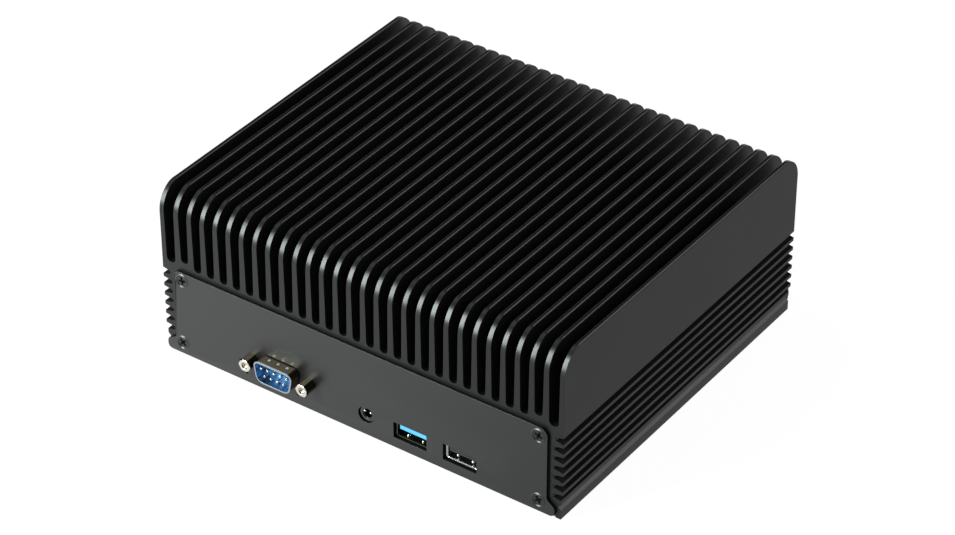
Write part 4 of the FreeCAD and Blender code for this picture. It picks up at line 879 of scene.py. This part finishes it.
# %% Group: worn edges
def make_edge_wear():
    """A mask of convex edges, broken up by noise."""
    group, entry, leaving = new_group("edge_wear", {"Low": 0.52, "High": 0.62}, {"Wear": "NodeSocketFloat"})
    shape = group.nodes.new("ShaderNodeNewGeometry")
    window = group.nodes.new("ShaderNodeMapRange")
    group.links.new(shape.outputs["Pointiness"], window.inputs["Value"])
    group.links.new(entry.outputs["Low"], window.inputs["From Min"])
    group.links.new(entry.outputs["High"], window.inputs["From Max"])
    patches = add_noise(group, stretched(group, PER_MM), 0.4, 3.0)
    broken = add_math(group, "MULTIPLY", window.outputs["Result"], patches)
    group.links.new(broken, leaving.inputs["Wear"])
    return group


wear_group = make_edge_wear()
print("edge wear:", len(wear_group.nodes), "nodes")

# %% [markdown]
# A mould cut by spark erosion prints small rounded cells into plastic. Voronoi cells give their height, and
# soft clouds vary the shade.


# %% Group: moulded skin
def make_moulded_skin():
    """Small rounded cells, as spark erosion leaves in a mould."""
    group, entry, leaving = new_group("moulded_skin", {"Cell Size": 0.25},
                                      {"Height": "NodeSocketFloat", "Shade Shift": "NodeSocketFloat"})
    place = stretched(group, PER_MM)
    cells = group.nodes.new("ShaderNodeTexVoronoi")
    cells.feature = "SMOOTH_F1"
    group.links.new(place, cells.inputs["Vector"])
    group.links.new(add_math(group, "DIVIDE", 1.0, entry.outputs["Cell Size"]), cells.inputs["Scale"])
    group.links.new(cells.outputs["Distance"], leaving.inputs["Height"])
    clouds = add_noise(group, place, 0.3, 2.0)
    group.links.new(add_math(group, "SUBTRACT", clouds, 0.5), leaving.inputs["Shade Shift"])
    return group


skin_group = make_moulded_skin()
print("moulded skin:", len(skin_group.nodes), "nodes")

# %% [markdown]
# Each finish is built the same way. It starts from a Principled shader with constant numbers on its own
# sockets. The groups then vary colour, roughness and bump, and each of these moves is one helper.

# %% Starting a finish
def start_finish(name, colour, roughness, metallic=0.0, specular=0.5, coat=0.0):
    """A material with a Principled shader; gives back material, tree and shader."""
    material = bpy.data.materials.new(name)
    material.use_nodes = True
    tree = material.node_tree
    shader = tree.nodes["Principled BSDF"]
    shader.inputs["Base Color"].default_value = (*colour, 1.0)
    shader.inputs["Roughness"].default_value = roughness
    shader.inputs["Metallic"].default_value = metallic
    shader.inputs["Specular IOR Level"].default_value = specular
    shader.inputs["Coat Weight"].default_value = coat
    material.diffuse_color = (*colour, 1.0)
    return material, tree, shader


def use_group(tree, group, **numbers):
    """Place a node group in a material and set its inputs."""
    node = tree.nodes.new("ShaderNodeGroup")
    node.node_tree = group
    for label, value in numbers.items():
        node.inputs[label.replace("_", " ")].default_value = value
    return node


def vary_colour(tree, shader, factor, low, high):
    """Blend between two colours by a mask."""
    blend = tree.nodes.new("ShaderNodeMix")
    blend.data_type = "RGBA"
    blend.inputs[6].default_value = (*low, 1.0)
    blend.inputs[7].default_value = (*high, 1.0)
    tree.links.new(factor, blend.inputs[0])
    tree.links.new(blend.outputs[2], shader.inputs["Base Color"])


def vary_roughness(tree, shader, shift, amount):
    """Move the roughness about its constant by a signed value."""
    middle = shader.inputs["Roughness"].default_value
    moved = add_math(tree, "MULTIPLY_ADD", shift, amount)
    moved.node.inputs[2].default_value = middle
    tree.links.new(moved, shader.inputs["Roughness"])


def add_bump(tree, shader, height, strength, distance):
    """Feed a height to the shader's normal; distance is in metres."""
    bump = tree.nodes.new("ShaderNodeBump")
    bump.inputs["Strength"].default_value = strength
    bump.inputs["Distance"].default_value = distance
    tree.links.new(height, bump.inputs["Height"])
    tree.links.new(bump.outputs["Normal"], shader.inputs["Normal"])


print("finish helpers ready")

# %% [markdown]
# Black anodising keeps the grain of the metal but looks like a dark dielectric, because light enters the dyed
# oxide layer. So Metallic stays at zero. The housing's own sides show the lines of the extrusion as well. The
# panels' blasted faces shine more than the housing. Their sides are darker and hardly shine, partly as duller
# cut edges and partly as painted shade for the dark line where a panel meets the housing.


# %% Black anodised metal
def anodised(name, colour, worn, roughness, grain_size=0.3, lines=0.0, specular=0.5):
    """Blasted and dyed aluminium: fine grain, uneven sheen, lighter edges and, on request, drawn lines."""
    material, tree, shader = start_finish(name, colour, roughness, specular=specular)
    grain = use_group(tree, grain_group, Grain_Size=grain_size)
    wear = use_group(tree, wear_group)
    vary_colour(tree, shader, wear.outputs["Wear"], colour, worn)
    shift = grain.outputs["Sheen Shift"]
    if lines:
        drawn = use_group(tree, lines_group)
        shift = add_math(tree, "ADD", shift, add_math(tree, "MULTIPLY", drawn.outputs["Lines"], lines))
    vary_roughness(tree, shader, shift, 0.12)
    add_bump(tree, shader, grain.outputs["Height"], 0.25, 0.02 * MM)
    return material


finishes = {}
for name, colour, worn, roughness, extra in (
        ("housing_black", (0.0070, 0.0070, 0.0072), (0.016, 0.016, 0.0165), 0.31,
         {"lines": 0.6, "specular": 0.38}),
        ("panel_black", (0.006, 0.0062, 0.0061), (0.015, 0.015, 0.015), 0.36, {"specular": 0.80}),
        # Darker panel sides: partly a duller cut edge, partly painted shade along the housing.
        ("cut_edge_and_shade", (0.004, 0.004, 0.004), (0.008, 0.008, 0.008), 0.60, {"specular": 0.2}),
        ("base_black", (0.015, 0.015, 0.015), (0.06, 0.06, 0.06), 0.42, {"grain_size": 0.5}),
        ("screw_black", (0.010, 0.010, 0.011), (0.03, 0.03, 0.03), 0.40, {"specular": 0.55})):
    finishes[name] = anodised(name, colour, worn, roughness, **extra)
print("anodised finishes:", len(finishes))


# %% [markdown]
# Bare and plated metals show a tinted mirror of the room, so Metallic is one and the colour is the metal's
# own. They differ in tint and roughness alone, and a patchy second tint stands for tarnish. One function and
# a table of numbers give them all.


# %% Plated and bare metals
def metal(name, colour, tarnish, roughness, depth=0.15, grain_size=0.25):
    """Bare or plated metal: a full metal with a patchy tint and faint grain."""
    material, tree, shader = start_finish(name, colour, roughness, metallic=1.0)
    grain = use_group(tree, grain_group, Grain_Size=grain_size)
    patches = add_math(tree, "ADD", grain.outputs["Sheen Shift"], 0.5)
    vary_colour(tree, shader, patches, colour, tarnish)
    vary_roughness(tree, shader, grain.outputs["Sheen Shift"], 0.15)
    add_bump(tree, shader, grain.outputs["Height"], depth, 0.01 * MM)
    return material


for name, colour, tarnish, roughness in (
        ("steel", (0.56, 0.56, 0.55), (0.46, 0.45, 0.43), 0.28),
        ("nickel", (0.66, 0.63, 0.56), (0.55, 0.52, 0.45), 0.20),
        ("gold", (0.83, 0.62, 0.27), (0.70, 0.50, 0.20), 0.22),
        ("pale_gold", (0.92, 0.90, 0.78), (0.88, 0.82, 0.64), 0.16),
        ("polished", (0.80, 0.81, 0.82), (0.70, 0.71, 0.73), 0.14),
        # Dark brown nickel: partly plating, partly painted shade.
        ("dull_plating_and_shade", (0.15, 0.12, 0.08), (0.10, 0.08, 0.05), 0.30),
        ("rolled_rim", (0.50, 0.56, 0.62), (0.42, 0.48, 0.55), 0.22),
        ("folded_steel", (0.60, 0.60, 0.60), (0.50, 0.50, 0.50), 0.24),
        ("cut_brass", (0.86, 0.80, 0.62), (0.74, 0.68, 0.50), 0.45)):
    finishes[name] = metal(name, colour, tarnish, roughness)
finishes["bare_aluminium"] = metal("bare_aluminium", (0.62, 0.63, 0.64), (0.50, 0.51, 0.52), 0.40, 0.5, 0.6)
print("anodised and plain metals:", len(finishes))

# %% [markdown]
# The jackscrews carry painted light. Faces that point to the front are painted a pale cream highlight, and
# their flats are painted a dark brown shade. Both are one finish: the direction that a spot of the surface
# faces decides which of the two it shows.


# %% Painted highlight and shade of the jackscrews
def facing_painted_metal(name):
    """Plated bar with painted light: a pale cream highlight on the front and a dark brown shade on the sides.
    """
    painted_shade_brown, painted_highlight_cream = (0.12, 0.10, 0.07), (0.86, 0.82, 0.74)
    material, tree, shader = start_finish(name, painted_shade_brown, 0.24, metallic=1.0)
    grain = use_group(tree, grain_group, Grain_Size=0.25)
    place = tree.nodes.new("ShaderNodeTexCoord")
    axes = tree.nodes.new("ShaderNodeSeparateXYZ")
    tree.links.new(place.outputs["Normal"], axes.inputs[0])
    painted_light_mask = tree.nodes.new("ShaderNodeMapRange")
    for label, value in (("From Min", -0.35), ("From Max", -0.75)):
        painted_light_mask.inputs[label].default_value = value
    tree.links.new(axes.outputs["Y"], painted_light_mask.inputs["Value"])
    # Painted light: spots that face the front get the cream highlight, all others the brown shade.
    vary_colour(tree, shader, painted_light_mask.outputs["Result"], painted_shade_brown, painted_highlight_cream)
    add_bump(tree, shader, grain.outputs["Height"], 0.15, 0.01 * MM)
    return material


finishes["facing_painted_metal"] = facing_painted_metal("facing_painted_metal")
print("metals done:", len(finishes))


# %% [markdown]
# Plastic, rubber and the soft heat pads share one build too: a colour with slight clouds and the skin of the
# mould. The sockets' inserts are smooth and shine a little, rubber is rough, and the pads are the roughest.


# %% Plastics, rubber and pads
def moulded(name, colour, shaded, roughness, cell, depth=0.2, specular=0.5):
    """A moulded part: one colour with slight clouds and a pebbled skin."""
    material, tree, shader = start_finish(name, colour, roughness, specular=specular)
    skin = use_group(tree, skin_group, Cell_Size=cell)
    clouds = add_math(tree, "ADD", skin.outputs["Shade Shift"], 0.5)
    vary_colour(tree, shader, clouds, colour, shaded)
    vary_roughness(tree, shader, skin.outputs["Shade Shift"], 0.2)
    add_bump(tree, shader, skin.outputs["Height"], depth, 0.02 * MM)
    return material


for name, colour, shaded, roughness, cell, *skin in (
        ("foot_rubber", (0.018, 0.018, 0.018), (0.028, 0.028, 0.028), 0.72, 0.4, 0.5),
        ("blue_plastic", (0.012, 0.19, 0.55), (0.010, 0.15, 0.47), 0.24, 0.3),
        ("sky_plastic", (0.10, 0.45, 0.78), (0.08, 0.40, 0.72), 0.30, 0.3),
        ("smooth_plastic", (0.008, 0.008, 0.008), (0.012, 0.012, 0.012), 0.36, 0.3, 0.1, 0.9),
        ("black_plastic", (0.012, 0.012, 0.012), (0.02, 0.02, 0.02), 0.42, 0.3),
        ("chip_black", (0.02, 0.02, 0.021), (0.03, 0.03, 0.03), 0.55, 0.15, 0.3),
        ("pad_grey", (0.30, 0.31, 0.33), (0.24, 0.25, 0.27), 0.80, 0.6, 0.6)):
    finishes[name] = moulded(name, colour, shaded, roughness, cell, *skin)
print("moulded finishes ready")


# %% [markdown]
# A board is green because of a lacquer over its copper, and the traces show through it as paler lines. A
# brick pattern stands for their right angles, and a thin coat for the lacquer's gloss.


# %% Solder mask of the boards
def solder_mask(name):
    """Green lacquer over copper: paler traces show through under a clear coat."""
    lacquer, shaded, trace = (0.012, 0.11, 0.05), (0.010, 0.09, 0.04), (0.03, 0.19, 0.08)
    material, tree, shader = start_finish(name, lacquer, 0.38, coat=0.3)
    place = stretched(tree, PER_MM)
    bricks = tree.nodes.new("ShaderNodeTexBrick")
    for label, value in (("Scale", 0.35), ("Mortar Size", 0.03), ("Color1", (*lacquer, 1)),
                         ("Color2", (*shaded, 1)), ("Mortar", (*trace, 1))):
        bricks.inputs[label].default_value = value
    tree.links.new(place, bricks.inputs["Vector"])
    tree.links.new(bricks.outputs["Color"], shader.inputs["Base Color"])
    add_bump(tree, shader, bricks.outputs["Fac"], 0.2, 0.02 * MM)
    return material


finishes["board_green"] = solder_mask("board_green")
print("finishes:", len(finishes))

# %% [markdown]
# A finish is a name in the record. Each plain node has its slot there, and each new piece was given one when
# it was mounted, so one loop can hand out all materials. Two places differ. The fast socket's tongue is
# lighter than the serial socket's blue, and the sides of the two panels get a second, darker material, partly
# a duller cut edge and partly painted shade for the dark line where a panel meets the housing.

# %% Hand out the finishes
slots = {entry["node"]: entry["material_slot"] for entry in frame["record"]["subparts"]}
node_finish = {"usb_fast_tongue": "sky_plastic"}
for node, thing in frame["nodes"].items():
    thing.data.materials.clear()
    thing.data.materials.append(finishes[node_finish.get(node, slots[node])])
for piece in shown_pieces():
    if piece.name in finish_of:
        piece.data.materials.clear()
        piece.data.materials.append(finishes[finish_of[piece.name]])
# The panels' sides get the darker material: partly a duller cut edge, partly painted shade.
for plate in (front_plate, rear_plate):
    choose(plate, "FACE", lambda middle, normal: abs(normal.y) < 0.5)
    leave()
    plate.data.materials.append(finishes["cut_edge_and_shade"])
    for face in plate.data.polygons:
        face.material_index = 1 if face.select else 0
print("pieces finished:", len(finish_of))

# %% [markdown]
# The studio is plain. The floor is white to the camera and to reflections, because black metal shows little
# but what it mirrors. Its glow seen in reflections is painted darker to the right of the machine, a painted
# shade such as a tent lit from the left would cast there. To diffuse light it is an ordinary pale floor, so
# it keeps the machine's shadow.

# %% Floor
# How bright the floor glows to the camera, and how much of it is glow rather than lit paint.
WHITE_GLOW = 1.08
SEEN_SHARE, MIRRORED_SHARE = 0.88, 0.95


def make_floor():
    """A wide pale floor that stays white to the camera and keeps a faint shadow."""
    deselect()
    bpy.ops.mesh.primitive_plane_add(size=12, location=(0, 0, 0))
    floor = bpy.context.object
    floor.name = "studio_floor"
    material = bpy.data.materials.new("floor_white")
    material.use_nodes = True
    tree = material.node_tree
    shader = tree.nodes["Principled BSDF"]
    shader.inputs["Base Color"].default_value = (0.8, 0.8, 0.8, 1)
    shader.inputs["Roughness"].default_value = 0.9
    shader.inputs["Specular IOR Level"].default_value = 0.0
    glow = tree.nodes.new("ShaderNodeEmission")
    rays = tree.nodes.new("ShaderNodeLightPath")
    place = tree.nodes.new("ShaderNodeTexCoord")
    across = tree.nodes.new("ShaderNodeSeparateXYZ")
    tree.links.new(place.outputs["Object"], across.inputs[0])
    # Painted shade: the glow seen in reflections drops from 1.0 to 0.42 across X, darker to the right.
    painted_shade_ramp = tree.nodes.new("ShaderNodeMapRange")
    painted_shade_ramp.interpolation_type = "SMOOTHSTEP"
    for label, value in (("From Min", -0.12), ("From Max", 0.13), ("To Min", 1.0), ("To Max", 0.42)):
        painted_shade_ramp.inputs[label].default_value = value
    tree.links.new(across.outputs["X"], painted_shade_ramp.inputs["Value"])
    direct = add_math(tree, "MAXIMUM", rays.outputs["Is Camera Ray"], rays.outputs["Is Transmission Ray"])
    mirrored = add_math(tree, "MULTIPLY", rays.outputs["Is Glossy Ray"], painted_shade_ramp.outputs["Result"])
    tree.links.new(add_math(tree, "MAXIMUM", add_math(tree, "MULTIPLY", direct, WHITE_GLOW), mirrored),
                   glow.inputs["Strength"])
    mix = tree.nodes.new("ShaderNodeMixShader")
    tree.links.new(add_math(tree, "MAXIMUM", add_math(tree, "MULTIPLY", direct, SEEN_SHARE),
                            add_math(tree, "MULTIPLY", rays.outputs["Is Glossy Ray"], MIRRORED_SHARE)),
                   mix.inputs[0])
    tree.links.new(shader.outputs[0], mix.inputs[1])
    tree.links.new(glow.outputs[0], mix.inputs[2])
    tree.links.new(mix.outputs[0], tree.nodes["Material Output"].inputs["Surface"])
    floor.data.materials.append(material)
    return floor


print("floor:", make_floor().name)

# %% [markdown]
# The world is white to the camera as well. Mirrors see it pale along the horizon and dark above, so that the
# fins keep black flanks, and a soft grey fill reaches into the slots.


# %% World
FILL = 0.3


def make_world():
    """White to the camera; mirrors see a pale horizon under a dark ceiling, and the fill is a soft grey."""
    world = bpy.data.worlds.new("studio_world")
    bpy.context.scene.world = world
    world.use_nodes = True
    tree = world.node_tree
    background = tree.nodes["Background"]
    background.inputs["Color"].default_value = (1, 1, 1, 1)
    rays = tree.nodes.new("ShaderNodeLightPath")
    place = tree.nodes.new("ShaderNodeTexCoord")
    height = tree.nodes.new("ShaderNodeSeparateXYZ")
    tree.links.new(place.outputs["Generated"], height.inputs[0])
    ceiling = tree.nodes.new("ShaderNodeMapRange")
    for label, value in (("From Min", 0.0), ("From Max", 0.12), ("To Min", 1.0), ("To Max", 0.03)):
        ceiling.inputs[label].default_value = value
    tree.links.new(height.outputs["Z"], ceiling.inputs["Value"])
    direct = add_math(tree, "MAXIMUM", rays.outputs["Is Camera Ray"], rays.outputs["Is Transmission Ray"])
    mirrored = add_math(tree, "MULTIPLY", rays.outputs["Is Glossy Ray"], ceiling.outputs["Result"])
    fill = add_math(tree, "MULTIPLY", rays.outputs["Is Diffuse Ray"], FILL)
    tree.links.new(add_math(tree, "MAXIMUM", add_math(tree, "MAXIMUM", direct, mirrored), fill),
                   background.inputs["Strength"])
    return world


print("world:", make_world().name)

# %% [markdown]
# Three soft boxes give the machine its highlights. The large one stands low at the front left and draws the
# bright bands over the rounded fin ends. One behind at the right lays a thin line on the top of each fin.
# A weak one overhead lifts the tops a trace.


# %% Soft boxes
def soft_box(name, direction, distance, width, height, power, tint):
    """A rectangular lamp that faces the machine from a direction."""
    lamp = bpy.data.lights.new(name, "AREA")
    lamp.shape = "RECTANGLE"
    lamp.size, lamp.size_y = width, height
    lamp.energy = power
    lamp.color = tint
    thing = bpy.data.objects.new(name, lamp)
    bpy.context.collection.objects.link(thing)
    away = Vector(direction).normalized()
    thing.location = Vector((0, 0, 0.03)) + away * distance
    thing.rotation_euler = away.to_track_quat("Z", "Y").to_euler()
    return thing


soft_box("front_left_box", (-0.47, -0.77, 0.38), 2.6, 0.8, 2.0, 120, (0.90, 1.0, 0.98))
soft_box("rear_right_box", (0.70, 0.53, 0.48), 2.4, 1.5, 1.8, 24, (1.0, 1.0, 1.0))
soft_box("overhead_box", (-0.47, 0.02, 0.88), 2.4, 0.9, 0.9, 3, (1.0, 1.0, 1.0))

# %% [markdown]
# The camera stands 35 degrees to the right of the front and 35 degrees up, with a long lens from about one
# and a quarter metres. A long lens keeps the fins almost parallel.

# %% Camera
camera_data = bpy.data.cameras.new("camera")
camera = bpy.data.objects.new("camera", camera_data)
bpy.context.collection.objects.link(camera)
bpy.context.scene.camera = camera
camera_data.lens = 130.39
camera_data.sensor_width = 36
camera_data.clip_start, camera_data.clip_end = 0.01, 50
AZIMUTH, ELEVATION, ROLL = math.radians(35.199), math.radians(35.347), math.radians(0.038)
back = Vector((math.sin(AZIMUTH) * math.cos(ELEVATION), -math.cos(AZIMUTH) * math.cos(ELEVATION),
               math.sin(ELEVATION)))
camera.location = (0.57707, -0.81798, 0.73963)
camera.rotation_mode = "QUATERNION"
turned = (-back).to_track_quat("-Z", "Y")
camera.rotation_quaternion = Matrix.Rotation(ROLL, 4, back).to_quaternion() @ turned
scene = bpy.context.scene
scene.view_settings.view_transform = "Standard"
print("camera at", [round(v, 3) for v in camera.location])
